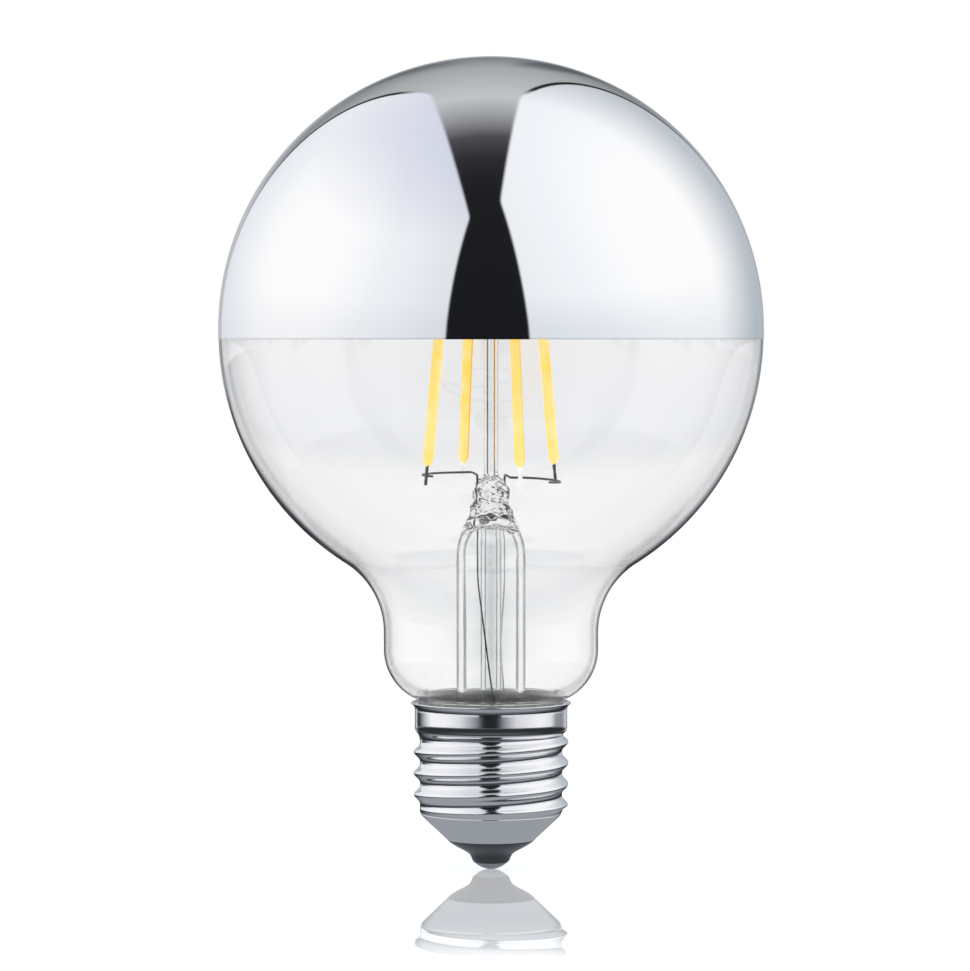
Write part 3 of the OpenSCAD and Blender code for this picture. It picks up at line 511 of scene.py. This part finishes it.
# Waves about 25 mm long
waves = add(tree, "ShaderNodeTexNoise", {"Vector": place, "Scale": 40.0, "Detail": 1.0})
ripple = add(tree, "ShaderNodeBump", {"Height": waves, "Strength": 0.25, "Distance": 0.2 * MM})
tree.links.new(ripple, shader.inputs["Normal"])


def wall(z):
    """Thickness of the glass at a height: thin at the globe's middle, thick at the neck."""
    return WALL_THIN + (WALL_THICK - WALL_THIN) * ease((THIN_Z - z) / THICKEN_H)


def globe_line(inner):
    """Outline of one surface of the glass from the pole down to the end of the skirt."""
    t = 1 if inner else 0
    line = arc(0, TOP_GLOBE_Z, GLOBE_R - WALL_THIN * t, 90, 0, 48)
    for r, z in arc(0, LOW_GLOBE_Z, GLOBE_R, 0, -THROAT_A, 44):
        share = (GLOBE_R - wall(z) * t) / GLOBE_R
        line.append((r * share, LOW_GLOBE_Z + (z - LOW_GLOBE_Z) * share))
    line += arc(THROAT_X, THROAT_Z, THROAT_R + WALL_THICK * t, 180 - THROAT_A, 180, 24)[1:]
    line += arc(SHOULDER_X, SHOULDER_Z, SHOULDER_R - WALL_THICK * t, 0, -SKIRT_A, 24)
    line += arc(SKIRT_X, SKIRT_Z, SKIRT_BEND_R + WALL_THICK * t, 180 - SKIRT_A, 180, 8)[1:]
    return line + [(SKIRT_R - WALL_THICK * t, SEAL_Z)]


outer_line, inner_line = globe_line(False), globe_line(True)
globe_outline = [(0, TOP_GLOBE_Z + GLOBE_R)] + outer_line[1:] + inner_line[:0:-1]
globe_outline += [(0, TOP_GLOBE_Z + GLOBE_R - WALL_THIN)]
globe = skin("blown_globe", turned(globe_outline, GLOBE_SIDES), clear_glass)
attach(globe, "root")
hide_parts("glass_envelope")

# Mirror crown. The upper half of the globe is silvered and lacquered, masked to a level edge just
# below the widest part. It mirrors the room sharply, and its edge is thinner and a little darker.
CROWN_T, EDGE_T, LIFT = 0.12, 0.03, 0.02
CROWN_DROP = 1.06
EDGE_Z = LOW_GLOBE_Z - CROWN_DROP
CROWN_A = math.degrees(math.asin(CROWN_DROP / GLOBE_R))
CROWN_STEPS, CROWN_SIDES = 80, 224

mirror_layer, tree, shader = finish_of(
    "silver_mirror", base_color=linear("#fcfcfd"), metallic=1.0, roughness=0.03)
place = add(tree, "ShaderNodeTexCoord", out="Object")
height = add(tree, "ShaderNodeSeparateXYZ", {"Vector": place}, out="Z")
inward = add(tree, "ShaderNodeMapRange", {
    "Value": height, "From Min": (EDGE_Z + 0.1) * MM, "From Max": (EDGE_Z + 0.35) * MM}, clamp=True)
tint = add(tree, "ShaderNodeMix", {"Factor": inward, "A": linear("#dcdee0"), "B": linear("#fcfcfd")},
           out="Result", data_type="RGBA")
# The glass's waves, about 25 mm long, seen faintly in the mirror
waves = add(tree, "ShaderNodeTexNoise", {"Vector": place, "Scale": 40.0, "Detail": 1.0})
ripple = add(tree, "ShaderNodeBump", {"Height": waves, "Strength": 0.06, "Distance": 0.2 * MM})
tree.links.new(tint, shader.inputs["Base Color"])
tree.links.new(ripple, shader.inputs["Normal"])

high_r, low_r = GLOBE_R + CROWN_T, GLOBE_R + LIFT
edge_r = low_r + EDGE_T
over = []
for i in range(1, CROWN_STEPS + 1):
    turn = math.radians(90 - 90 * i / CROWN_STEPS)
    thinned = edge_r + (high_r - edge_r) * math.sin(turn)
    over.append((thinned * math.cos(turn), TOP_GLOBE_Z + thinned * math.sin(turn)))
over += arc(0, LOW_GLOBE_Z, edge_r, 0, -CROWN_A, 3)
under = arc(0, LOW_GLOBE_Z, low_r, -CROWN_A, 0, 3)
under += arc(0, TOP_GLOBE_Z, low_r, 0, 90, CROWN_STEPS)[:-1]
crown_outline = [(0, TOP_GLOBE_Z + high_r)] + over + under + [(0, TOP_GLOBE_Z + low_r)]
crown = skin("silvered_crown", turned(crown_outline, CROWN_SIDES), mirror_layer)
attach(crown, "root")
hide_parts("mirror_crown")

# Driver. A round glass-fibre board rests in the cone of the cap, with the rectifier and the driver
# chip under it and the tall parts on top. It is hidden by the cap, but its top shows from above
# through the neck: green lacquer, bare aluminium, dark ferrite and shiny enamelled copper.


def speckled(name, dark, light, scale, roughness, metallic=0.0, bump=0.0):
    """A plain finish with two near colours mixed by noise, and an optional grain."""
    made, tree, shader = finish_of(name, roughness=roughness, metallic=metallic)
    place = add(tree, "ShaderNodeTexCoord", out="Object")
    noise = add(tree, "ShaderNodeTexNoise", {"Vector": place, "Scale": scale, "Detail": 3.0})
    colour = add(tree, "ShaderNodeMix", {"Factor": noise, "A": linear(dark), "B": linear(light)},
                 out="Result", data_type="RGBA")
    tree.links.new(colour, shader.inputs["Base Color"])
    if bump:
        grain = add(tree, "ShaderNodeBump", {"Height": noise, "Strength": 0.5, "Distance": bump * MM})
        tree.links.new(grain, shader.inputs["Normal"])
    return made


driver_finishes = {
    ("driver_board",): speckled("green_laminate", "#2f6b45", "#3d8156", 900.0, 0.35),
    ("bridge_rectifier", "driver_chip"): speckled(
        "moulded_epoxy", "#1c1c1e", "#2b2b2e", 4000.0, 0.55, bump=0.02),
    ("capacitor_can",): speckled("drawn_aluminium", "#b4b8bc", "#cdd0d3", 700.0, 0.28, metallic=1.0),
    ("capacitor_bung",): speckled("black_rubber", "#161616", "#242424", 2500.0, 0.8, bump=0.02),
    ("fusible_resistor",): speckled("green_lacquer", "#3f5a37", "#55744a", 1200.0, 0.4),
    ("inductor_core",): speckled("sintered_ferrite", "#26272a", "#3a3b3f", 3500.0, 0.6, bump=0.02),
    ("centre_wire", "shell_wire"): tinned_copper,
}
wound, tree, shader = finish_of(
    "enamelled_copper", base_color=linear("#9c4a21"), metallic=1.0, roughness=0.3)
place = add(tree, "ShaderNodeTexCoord", out="Object")
# Turns of wire 0.2 mm apart
turns = add(tree, "ShaderNodeTexWave", {"Vector": place, "Scale": 1570.0}, out="Fac",
            bands_direction="Z")
bump = add(tree, "ShaderNodeBump", {"Height": turns, "Strength": 1.0, "Distance": 0.08 * MM})
tree.links.new(bump, shader.inputs["Normal"])
driver_finishes[("inductor_winding",)] = wound
for names, made in driver_finishes.items():
    for name in names:
        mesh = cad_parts[name].data
        mesh.materials.clear()
        mesh.materials.append(made)

# Foot of the cap. Black glass is pressed into the lower end of the shell round a small brass plate,
# and the driver's centre wire is soldered into that plate. The glass is smooth and near black; the
# solder is a satin grey dome, a little uneven where it set.
TIP_H, TIP_R = 1.15, 2.8
STUB_R = 3.4
CONE_END_R, SHELL_Z = 7.4, 5.0
CONE_IN_R, CONE_IN_Z = 7.194, 5.218
INSULATOR_TOP_R, INSULATOR_TOP_Z = 8.526, CONE_IN_Z + 1.3
WIRE_HOLE_R, FUNNEL_R, FIT = 0.6, 2.3, 0.06

black_glass, tree, shader = finish_of(
    "black_cap_glass", base_color=linear("#43464b"), roughness=0.16, ior=1.52)
place = add(tree, "ShaderNodeTexCoord", out="Object")
swirl = add(tree, "ShaderNodeTexNoise", {"Vector": place, "Scale": 260.0, "Detail": 3.0})
rough = add(tree, "ShaderNodeMapRange", {"Value": swirl, "To Min": 0.1, "To Max": 0.28})
tree.links.new(rough, shader.inputs["Roughness"])

flank = flow([
    (TIP_R + 0.1, TIP_H + 0.02), (TIP_R + 0.24, TIP_H + 0.2), (3.2, TIP_H + 0.45),
    (STUB_R, TIP_H + 0.95), (3.78, 2.66), (4.6, 3.2), (5.8, 3.84), (6.85, 4.5),
    (CONE_END_R - 0.03, SHELL_Z - 0.06)], 6)
seat = [(WIRE_HOLE_R, TIP_H + 0.3), (TIP_R + 0.04, TIP_H + 0.3), (TIP_R + 0.04, TIP_H + 0.08)]
plug = [(CONE_IN_R - FIT, CONE_IN_Z), (INSULATOR_TOP_R - FIT, INSULATOR_TOP_Z),
        (FUNNEL_R, INSULATOR_TOP_Z), (WIRE_HOLE_R, INSULATOR_TOP_Z - 1)]
insulator = skin("pressed_black_glass", turned(seat + flank + plug, 128), black_glass, loop=True)
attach(insulator, "root")
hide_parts("cap_insulator")

solder, tree, shader = finish_of("tin_solder", metallic=1.0, roughness=0.34)
place = add(tree, "ShaderNodeTexCoord", out="Object")
frost = add(tree, "ShaderNodeTexNoise", {"Vector": place, "Scale": 900.0, "Detail": 4.0})
colour = add(tree, "ShaderNodeMix", {"Factor": frost, "A": linear("#9fa3a8"), "B": linear("#d4d6d9")},
             out="Result", data_type="RGBA")
rough = add(tree, "ShaderNodeMapRange", {"Value": frost, "To Min": 0.22, "To Max": 0.5})
bump = add(tree, "ShaderNodeBump", {"Height": frost, "Strength": 0.4, "Distance": 0.05 * MM})
tree.links.new(colour, shader.inputs["Base Color"])
tree.links.new(rough, shader.inputs["Roughness"])
tree.links.new(bump, shader.inputs["Normal"])
dome_r = (TIP_R ** 2 + TIP_H ** 2) / (2 * TIP_H)
dome_a = math.degrees(math.asin(TIP_R / dome_r))


def set_solder(bearing, r, z):
    """Slight waves in the dome where the solder set."""
    dip = 0.012 * (1 + math.sin(3 * bearing + 1.0)) * math.sin(math.pi * min(1.0, z / TIP_H))
    return r * (1 - dip)


dome = arc(0, dome_r, dome_r, -90, dome_a - 90, 16)[1:]
contact = skin("set_solder", turned([(0, 0)] + dome + [(0, TIP_H)], 96, set_solder), solder)
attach(contact, "root")
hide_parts("solder_tip")
brass = speckled("sheet_brass", "#a8843f", "#c9a35a", 800.0, 0.3, metallic=1.0)
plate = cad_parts["contact_plate"].data
plate.materials.clear()
plate.materials.append(brass)

# Cap shell. Brass sheet drawn to a cup and nickel plated, with the screw thread rolled into it, a
# plain collar above and a lip flared out to take the glass. Bright and slightly brushed round its
# axis, it mirrors the room in soft upright bands, which the thread breaks into curves.
SHEET_T, ROOT_TRIM = 0.3, 0.06
THREAD_STEPS, SHELL_SIDES = 124, 240
CONE_TOP_Z = 9.5
ROOT_R, THREAD_R, COLLAR_R, RIM_R = 12.15, 13.15, 12.95, 13.6
PITCH, RUN_IN, RUN_OUT = 3.629, 1.4, 2.3
THREAD_LOW_Z, THREAD_HIGH_Z = 10.9, 21.787
WIDEN_Z, WIDEN_H = THREAD_HIGH_Z + RUN_OUT * 0.4, RUN_OUT * 0.5
COLLAR_Z, LIP_Z, CAP_TOP_Z = 24.087, 27.387, 28.487

plated_sheet, tree, shader = finish_of(
    "nickel_plated_sheet", base_color=linear("#f7f7f9"), metallic=1.0, roughness=0.16, anisotropic=0.3)
place = add(tree, "ShaderNodeTexCoord", out="Object")
# Rolling marks about 0.2 mm apart, long round the axis
stretched = add(tree, "ShaderNodeMapping", {"Vector": place, "Scale": (160.0, 160.0, 5200.0)})
marks = add(tree, "ShaderNodeTexNoise", {"Vector": stretched, "Scale": 1.0, "Detail": 3.0})
rough = add(tree, "ShaderNodeMapRange", {"Value": marks, "To Min": 0.06, "To Max": 0.16})
bump = add(tree, "ShaderNodeBump", {"Height": marks, "Strength": 0.15, "Distance": 0.01 * MM})
tree.links.new(rough, shader.inputs["Roughness"])
tree.links.new(bump, shader.inputs["Normal"])


def rolled(bearing, r, z):
    """Radius of the sheet's outside where the thread is rolled into it."""
    if not CONE_TOP_Z < z < COLLAR_Z:
        return r
    turn = (z - THREAD_LOW_Z) / PITCH - bearing / (2 * math.pi)
    rise = ease((z - CONE_TOP_Z - 0.3) / RUN_IN)
    fade = 1 - ease((z - THREAD_HIGH_Z) / (RUN_OUT * 0.75))
    base = ROOT_R - ROOT_TRIM + (COLLAR_R - ROOT_R) * ease((z - WIDEN_Z) / WIDEN_H)
    crest = ((1 + math.cos(2 * math.pi * turn)) / 2) ** 1.5 * rise * fade
    return base + (THREAD_R - ROOT_R + ROOT_TRIM) * crest + r - ROOT_R


fold = [(CONE_END_R - 0.12, SHELL_Z + 0.04), (CONE_END_R - 0.02, SHELL_Z),
        (CONE_END_R + 0.1, SHELL_Z + 0.05)]
cone = straight((CONE_END_R + 0.15, SHELL_Z + 0.14), (ROOT_R - 0.75, CONE_TOP_Z - 0.71), 10)
corner = flow([(ROOT_R - 0.75, CONE_TOP_Z - 0.71), (ROOT_R - 0.32, CONE_TOP_Z - 0.26),
               (ROOT_R - 0.1, CONE_TOP_Z + 0.12), (ROOT_R, CONE_TOP_Z + 0.3)], 5)
thread = straight((ROOT_R, CONE_TOP_Z + 0.4), (ROOT_R, COLLAR_Z), THREAD_STEPS)
collar = [(COLLAR_R, COLLAR_Z), (COLLAR_R, COLLAR_Z + 1.2), (COLLAR_R, LIP_Z - 0.6)]
lip = flow([(COLLAR_R, LIP_Z - 0.3), (COLLAR_R + 0.01, LIP_Z), (COLLAR_R + 0.2, LIP_Z + 0.5),
            (RIM_R - 0.09, CAP_TOP_Z - 0.3), (RIM_R - 0.01, CAP_TOP_Z - 0.14)], 4)
rim = [(RIM_R - 0.03, CAP_TOP_Z - 0.05), (RIM_R - 0.1, CAP_TOP_Z), (RIM_R - 0.22, CAP_TOP_Z - 0.02)]
wall_r = COLLAR_R - SHEET_T
lining = [(wall_r + 0.2, LIP_Z + 0.7), (wall_r, LIP_Z + 0.2), (wall_r, COLLAR_Z + 0.05)]
lining += [(r - SHEET_T, z) for r, z in thread[::-3]]
cone_slope = (CONE_TOP_Z - SHELL_Z) / (ROOT_R - CONE_END_R)
cone_top_in_z = CONE_IN_Z + (ROOT_R - SHEET_T - CONE_IN_R) * cone_slope
lining += [(ROOT_R - ROOT_TRIM - SHEET_T, cone_top_in_z), (CONE_IN_R, CONE_IN_Z)]
shell_outline = fold + cone + corner + thread + collar + lip + rim + lining
shell = skin("rolled_shell", turned(shell_outline, SHELL_SIDES, rolled), plated_sheet, loop=True)
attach(shell, "root")
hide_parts("cap_shell")

# Cement. A ring of rough pale grey paste, baked hard, fills the space between the glass and the
# cap. Only its pitted upper edge shows, inside the lip and through the glass.
cement = speckled("baked_cement", "#858687", "#ffffff", 1100.0, 0.8, bump=0.3)
GLASS_GAP, CEMENT_SIDES = 0.015, 192
skirt_wall_r = ROOT_R - SHEET_T - 0.12
bend_in = arc(SKIRT_X, SKIRT_Z, SKIRT_BEND_R - GLASS_GAP, 180 - SKIRT_A, 180, 8)
skirt_turn, shoulder_r = math.radians(SKIRT_A), SHOULDER_R + 0.02
top_in = (SHOULDER_X + shoulder_r * math.cos(skirt_turn),
          SHOULDER_Z - shoulder_r * math.sin(skirt_turn))
low_z = SEAL_Z + 0.5
ridge = straight((wall_r - 0.06, LIP_Z + 0.2), top_in, 8)[1:]


def pitted(bearing, r, z):
    """Small waves in the free upper face of the cement."""
    if (r, z) not in ridge:
        return r
    return r + 0.05 * math.sin(23 * bearing) + 0.04 * math.sin(61 * bearing + r)


against_cap = [(skirt_wall_r, low_z), (skirt_wall_r, WIDEN_Z + 0.1 * WIDEN_H),
               (wall_r - 0.12, WIDEN_Z + WIDEN_H + 0.3), (wall_r - 0.06, LIP_Z + 0.2)]
cement_outline = [top_in] + bend_in[1:] + [(SKIRT_R + GLASS_GAP, low_z)] + against_cap + ridge
filling = skin("cement_ring", turned(cement_outline, CEMENT_SIDES, pitted), cement, loop=True)
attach(filling, "root")
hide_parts("cap_cement")

# Floor. A sheet of glossy white acrylic, seen as plain white, which mirrors the cap under the tip
# and lets that mirror image fade away towards the front.
FLOOR_R, FLOOR_SIDES = 0.15, 96
# Share of the sheet's radius, and how much of the mirror image shows there
FADE = [(0.0, 0.66), (0.28, 0.67), (0.48, 0.68), (0.55, 0.65), (0.63, 0.56), (0.72, 0.36), (0.8, 0.2),
        (0.9, 0.09), (1.0, 0.02)]
floor_finish = bpy.data.materials.new("glossy_white_acrylic")
floor_finish.use_nodes = True
tree = floor_finish.node_tree
tree.nodes.remove(tree.nodes["Principled BSDF"])
place = add(tree, "ShaderNodeTexCoord", out="Object")
off_axis = add(tree, "ShaderNodeVectorMath", {"Vector": place}, out="Value", operation="LENGTH")
share_out = add(tree, "ShaderNodeMath", {0: off_axis, 1: FLOOR_R}, operation="DIVIDE")
fading = add(tree, "ShaderNodeFloatCurve", {"Value": share_out})
curve = fading.node.mapping.curves[0]
curve.points[0].location, curve.points[1].location = FADE[0], FADE[-1]
for position, share in FADE[1:-1]:
    curve.points.new(position, share)
fading.node.mapping.update()
lit = add(tree, "ShaderNodeEmission", {"Color": (1, 1, 1, 1), "Strength": 0.82})
paint = add(tree, "ShaderNodeBsdfDiffuse", {"Color": linear("#e6e6e6")})
white = add(tree, "ShaderNodeAddShader", {0: lit, 1: paint})
image = add(tree, "ShaderNodeBsdfAnisotropic", {"Color": linear("#f4f8fa"), "Roughness": 0.0})
seen = add(tree, "ShaderNodeMixShader", {0: fading, 1: white, 2: image})
# Painted light and shade, seen from the lamp: the sheet is pale under the cap and darker towards its rim
sheet_painted_light = ramp_of(tree, share_out, [
    (0.0, "#999ea4"), (0.16, "#999ea3"), (0.27, "#6c7076"), (0.42, "#303236"), (0.8, "#28292c"),
    (1.0, "#8a8e92")])
mirrored = add(tree, "ShaderNodeEmission", {"Color": sheet_painted_light, "Strength": 1.0})
through = add(tree, "ShaderNodeEmission", {"Color": (1, 1, 1, 1), "Strength": 1.0})
ray = add(tree, "ShaderNodeLightPath").node.outputs
other = add(tree, "ShaderNodeMixShader", {0: ray["Is Transmission Ray"], 1: mirrored, 2: through})
whole = add(tree, "ShaderNodeMixShader", {0: ray["Is Camera Ray"], 1: other, 2: seen})
tree.links.new(whole, tree.nodes["Material Output"].inputs["Surface"])

mesh = bpy.data.meshes.new("acrylic_sheet")
turns = [2 * math.pi * k / FLOOR_SIDES for k in range(FLOOR_SIDES)]
mesh.from_pydata([(FLOOR_R * math.cos(a), FLOOR_R * math.sin(a), 0.0) for a in turns], [],
                 [list(range(FLOOR_SIDES))])
mesh.materials.append(floor_finish)
floor = bpy.data.objects.new("acrylic_sheet", mesh)
bpy.context.scene.collection.objects.link(floor)

# Studio. Two tall white diffusers lean together over the lamp like a tent, with a dark slot between
# them for the camera, a grey ceiling in the slot's far end and a dim room behind. The wall behind
# the lamp is plain white, and that is what the camera sees past the lamp and through its glass.
world = bpy.data.worlds.new("diffuser_tent")
bpy.context.scene.world = world
world.use_nodes = True
tree = world.node_tree
direction = add(tree, "ShaderNodeTexCoord", out="Generated")
axes = add(tree, "ShaderNodeSeparateXYZ", {"Vector": direction}).node.outputs


def side_of(normal, soft=0.012):
    """1 on the side of a plane through the lamp to which its normal points, else 0."""
    unit = tuple(Vector(normal).normalized())
    dot = add(tree, "ShaderNodeVectorMath", {0: direction, 1: unit}, out="Value", operation="DOT_PRODUCT")
    return add(tree, "ShaderNodeMapRange", {"Value": dot, "From Min": -soft, "From Max": soft},
               interpolation_type="SMOOTHSTEP")


def times(a, b):
    """Product of two sockets or numbers."""
    return add(tree, "ShaderNodeMath", {0: a, 1: b}, operation="MULTIPLY")


def blend(share, low, high):
    """Mix of two colours by a share."""
    return add(tree, "ShaderNodeMix", {"Factor": share, "A": low, "B": high}, out="Result", data_type="RGBA")


def spread(value, low, high, smooth=False):
    """A value as a share between two limits."""
    return add(tree, "ShaderNodeMapRange", {"Value": value, "From Min": low, "From Max": high},
               interpolation_type="SMOOTHSTEP" if smooth else "LINEAR")


def toward(centre):
    """How near a direction lies to a given one: 1 is the same."""
    return add(tree, "ShaderNodeVectorMath", {0: direction, 1: centre}, out="Value", operation="DOT_PRODUCT")


def tinted(colour, share, hex_colour):
    """A colour multiplied by a tint, by a share."""
    return add(tree, "ShaderNodeMix", {"Factor": share, "A": colour, "B": linear(hex_colour)}, out="Result",
               data_type="RGBA", blend_type="MULTIPLY")


def panel_mask(side, low, peak, far, back):
    """Mask of one diffuser from the three corners of its inner edges, and its back edge's plane."""
    outward = Vector((side, 0, 0.1))
    planes = [Vector(low).cross(Vector(peak)), Vector(peak).cross(Vector(far))]
    planes = [p if p.dot(outward) > 0 else -p for p in planes]
    return times(times(side_of(planes[0]), side_of(planes[1])), side_of(back))


def seam(normal, width, start):
    """Dark line along a plane through the lamp, above the table and from a place behind the lamp."""
    unit = tuple(Vector(normal).normalized())
    off = add(tree, "ShaderNodeMath", {0: toward(unit)}, operation="ABSOLUTE")
    line = spread(off, width, width * 0.3, True)
    return times(line, times(spread(axes["Z"], 0.1, 0.3), spread(axes["Y"], start, start + 0.08)))


# All corners and planes are directions from the lamp, with the camera at minus y
LEFT_BACK, RIGHT_BACK = (-1, -0.39, 0), (1, -0.27, 0)
left_mask = panel_mask(
    -1, (-0.325, -0.943, -0.065), (-0.141, -0.670, 0.729), (-0.213, 0.498, 0.840), LEFT_BACK)
left_colour = ramp_of(tree, toward((-0.926, 0.047, 0.373)), [
    (0.3, "#e0e4e9"), (0.5, "#e7eaee"), (0.6, "#ebeef3"), (0.75, "#f0f2f6"), (0.87, "#f9fafb"),
    (0.96, "#ffffff")])
left_colour = tinted(left_colour, spread(axes["Z"], 0.58, 0.95), "#e9eaf4")
left_colour = tinted(left_colour, spread(axes["Z"], 0.2, 0.0), "#f8f8f9")
right_mask = panel_mask(
    1, (0.276, -0.959, -0.065), (0.059, -0.579, 0.813), (0.114, 0.496, 0.861), RIGHT_BACK)
right_colour = ramp_of(tree, toward((0.881, 0.046, 0.471)), [
    (0.25, "#eaeef2"), (0.5, "#f0f3f6"), (0.65, "#f3f6fa"), (0.93, "#ffffff")])
right_colour = tinted(right_colour, spread(axes["Y"], 0.36, 0.84), "#cbcfd3")
right_colour = tinted(right_colour, spread(axes["Z"], 0.25, 0.0), "#eff1f3")
# The slot is darkest at the camera's end and palest where its ceiling begins
slot = ramp_of(tree, spread(axes["Y"], -1.0, 1.0), [
    (0.0, "#1a1b1f"), (0.225, "#1f1f23"), (0.3, "#242428"), (0.385, "#303034"), (0.48, "#4e4e52"),
    (0.585, "#999a9d"), (0.705, "#c5c6c9"), (0.9, "#a6a8aa"), (0.94, "#94979a"), (0.985, "#777b7f"),
    (1.0, "#868a8e")])
low_back = blend(spread(axes["X"], -0.1, 0.1), linear("#bcc0c4"), linear("#aeb2b6"))
slot = blend(times(spread(axes["Z"], 0.3, 0.15), spread(axes["Y"], 0.5, 0.7)), slot, low_back)
high_room = blend(left_mask, blend(right_mask, slot, right_colour), left_colour)
# A dark pole stands at each diffuser's back edge, and two soft shadows lie between them
poles = add(tree, "ShaderNodeMath", {
    0: seam(LEFT_BACK, 0.017, 0.6), 1: seam(RIGHT_BACK, 0.016, 0.46)}, operation="MAXIMUM")
shadows = add(tree, "ShaderNodeMath", {
    0: times(seam((1, -0.1, 0), 0.06, 0.82), 0.62),
    1: times(seam((-1, -0.11, 0), 0.07, 0.85), 0.42)}, operation="MAXIMUM")
high_room = blend(shadows, high_room, linear("#3a3c40"))
high_room = blend(poles, high_room, linear("#1e2023"))

# Near the table the tent stands open: bright at the sides, dark in front and behind, and grey
# behind on the right. The ramp runs once round the lamp, from behind it by the left.
facing = add(tree, "ShaderNodeMath", {0: axes["X"], 1: times(axes["Y"], -1.0)}, operation="ARCTAN2")
low_room = ramp_of(tree, spread(facing, -math.pi, math.pi), [
    (0.0, "#3a3c40"), (0.04, "#4a4c50"), (0.055, "#c8cacd"), (0.075, "#c4c6c9"), (0.09, "#26282b"),
    (0.12, "#303236"), (0.16, "#a8abb0"), (0.215, "#fbfbfd"), (0.3, "#f8f9fa"), (0.37, "#dcdfe3"),
    (0.425, "#8e9499"), (0.47, "#222428"), (0.525, "#26282c"), (0.562, "#8e9297"), (0.61, "#dcdde1"),
    (0.725, "#fbfbfc"), (0.785, "#e6e8eb"), (0.82, "#8c9196"), (0.88, "#868a90"), (0.92, "#c4c6c9"),
    (0.95, "#c0c2c6"), (0.975, "#3a3c40"), (1.0, "#3a3c40")])
above = spread(axes["Z"], -0.064, -0.052, True)
studio = blend(above, low_room, high_room)

# What is seen through the glass: a white wall, a little grey above the table, between dark stands
# which stand 45 degrees apart. They give the walls of the glass their thin dark lines.
STANDS = 8.0
bearing = add(tree, "ShaderNodeMath", {0: axes["X"], 1: axes["Y"]}, operation="ARCTAN2")
between = add(tree, "ShaderNodeMath", {0: times(bearing, STANDS)}, operation="COSINE")
wall_seen = blend(spread(between, -0.85, -0.6, True), linear("#3a3c40"), linear("#ffffff"))
wall_grey = ramp_of(tree, spread(axes["Z"], -0.09, 0.0), [
    (0.0, "#ffffff"), (0.28, "#fefefe"), (0.4, "#f5f6f7"), (0.52, "#eff0f2"), (0.75, "#f1f2f4"),
    (1.0, "#f5f5f6")])
wall_seen = add(tree, "ShaderNodeMix", {"Factor": 1.0, "A": wall_seen, "B": wall_grey},
                out="Result", data_type="RGBA", blend_type="MULTIPLY")

# Light that was mirrored inside the glass sees a paler room, dark at the camera, and a dark ring
# round the middle of the wall
room_seen = ramp_of(tree, spread(axes["Y"], -1.0, 0.0), [
    (0.0, "#26282c"), (0.08, "#3c3e42"), (0.3, "#b4b6ba"), (0.6, "#e6e8ea"), (1.0, "#fbfbfc")])
ring_seen = ramp_of(tree, spread(axes["Y"], 0.9, 1.0), [
    (0.0, "#fbfbfc"), (0.35, "#c4c6c9"), (0.6, "#26282b"), (0.93, "#1c1d20"), (0.985, "#c8cacd"),
    (1.0, "#ffffff")])
ahead = add(tree, "ShaderNodeMath", {0: axes["Y"], 1: 0.5}, operation="GREATER_THAN")
rim_seen = blend(ahead, room_seen, ring_seen)
ray = add(tree, "ShaderNodeLightPath").node.outputs
reflected = add(tree, "ShaderNodeMath", {0: ray["Glossy Depth"], 1: 0.5}, operation="GREATER_THAN")
scattered = add(tree, "ShaderNodeMath", {0: ray["Diffuse Depth"], 1: 0.5}, operation="GREATER_THAN")
behind = blend(reflected, wall_seen, rim_seen)
behind = blend(scattered, behind, linear("#ffffff"))
seen = blend(ray["Is Transmission Ray"], studio, behind)
# The camera, and the floor's mirror, see plain white
seen = blend(ray["Is Singular Ray"], seen, linear("#ffffff"))
seen = blend(ray["Is Camera Ray"], seen, linear("#ffffff"))
tree.links.new(seen, tree.nodes["Background"].inputs["Color"])

# Camera, level with the crown's edge and tipped down a little, with a long lens as for products.
# Light may cross all the walls of glass that lie behind one another.
VIEW_X, VIEW_BACK, VIEW_Z, VIEW_TIP = -1.02, 761.0, 90.0, 1.86
lens = bpy.data.cameras.new("long_lens")
lens.lens = 166.26
lens.sensor_width = 36.0
camera = bpy.data.objects.new("long_lens", lens)
camera.location = (VIEW_X * MM, -VIEW_BACK * MM, VIEW_Z * MM)
camera.rotation_euler = (math.radians(90 - VIEW_TIP), 0, 0)
bpy.context.scene.collection.objects.link(camera)
bpy.context.scene.camera = camera
bpy.context.scene.view_settings.view_transform = "Standard"
bpy.context.scene.cycles.max_bounces = 32
bpy.context.scene.cycles.transmission_bounces = 32
bpy.context.scene.cycles.glossy_bounces = 16
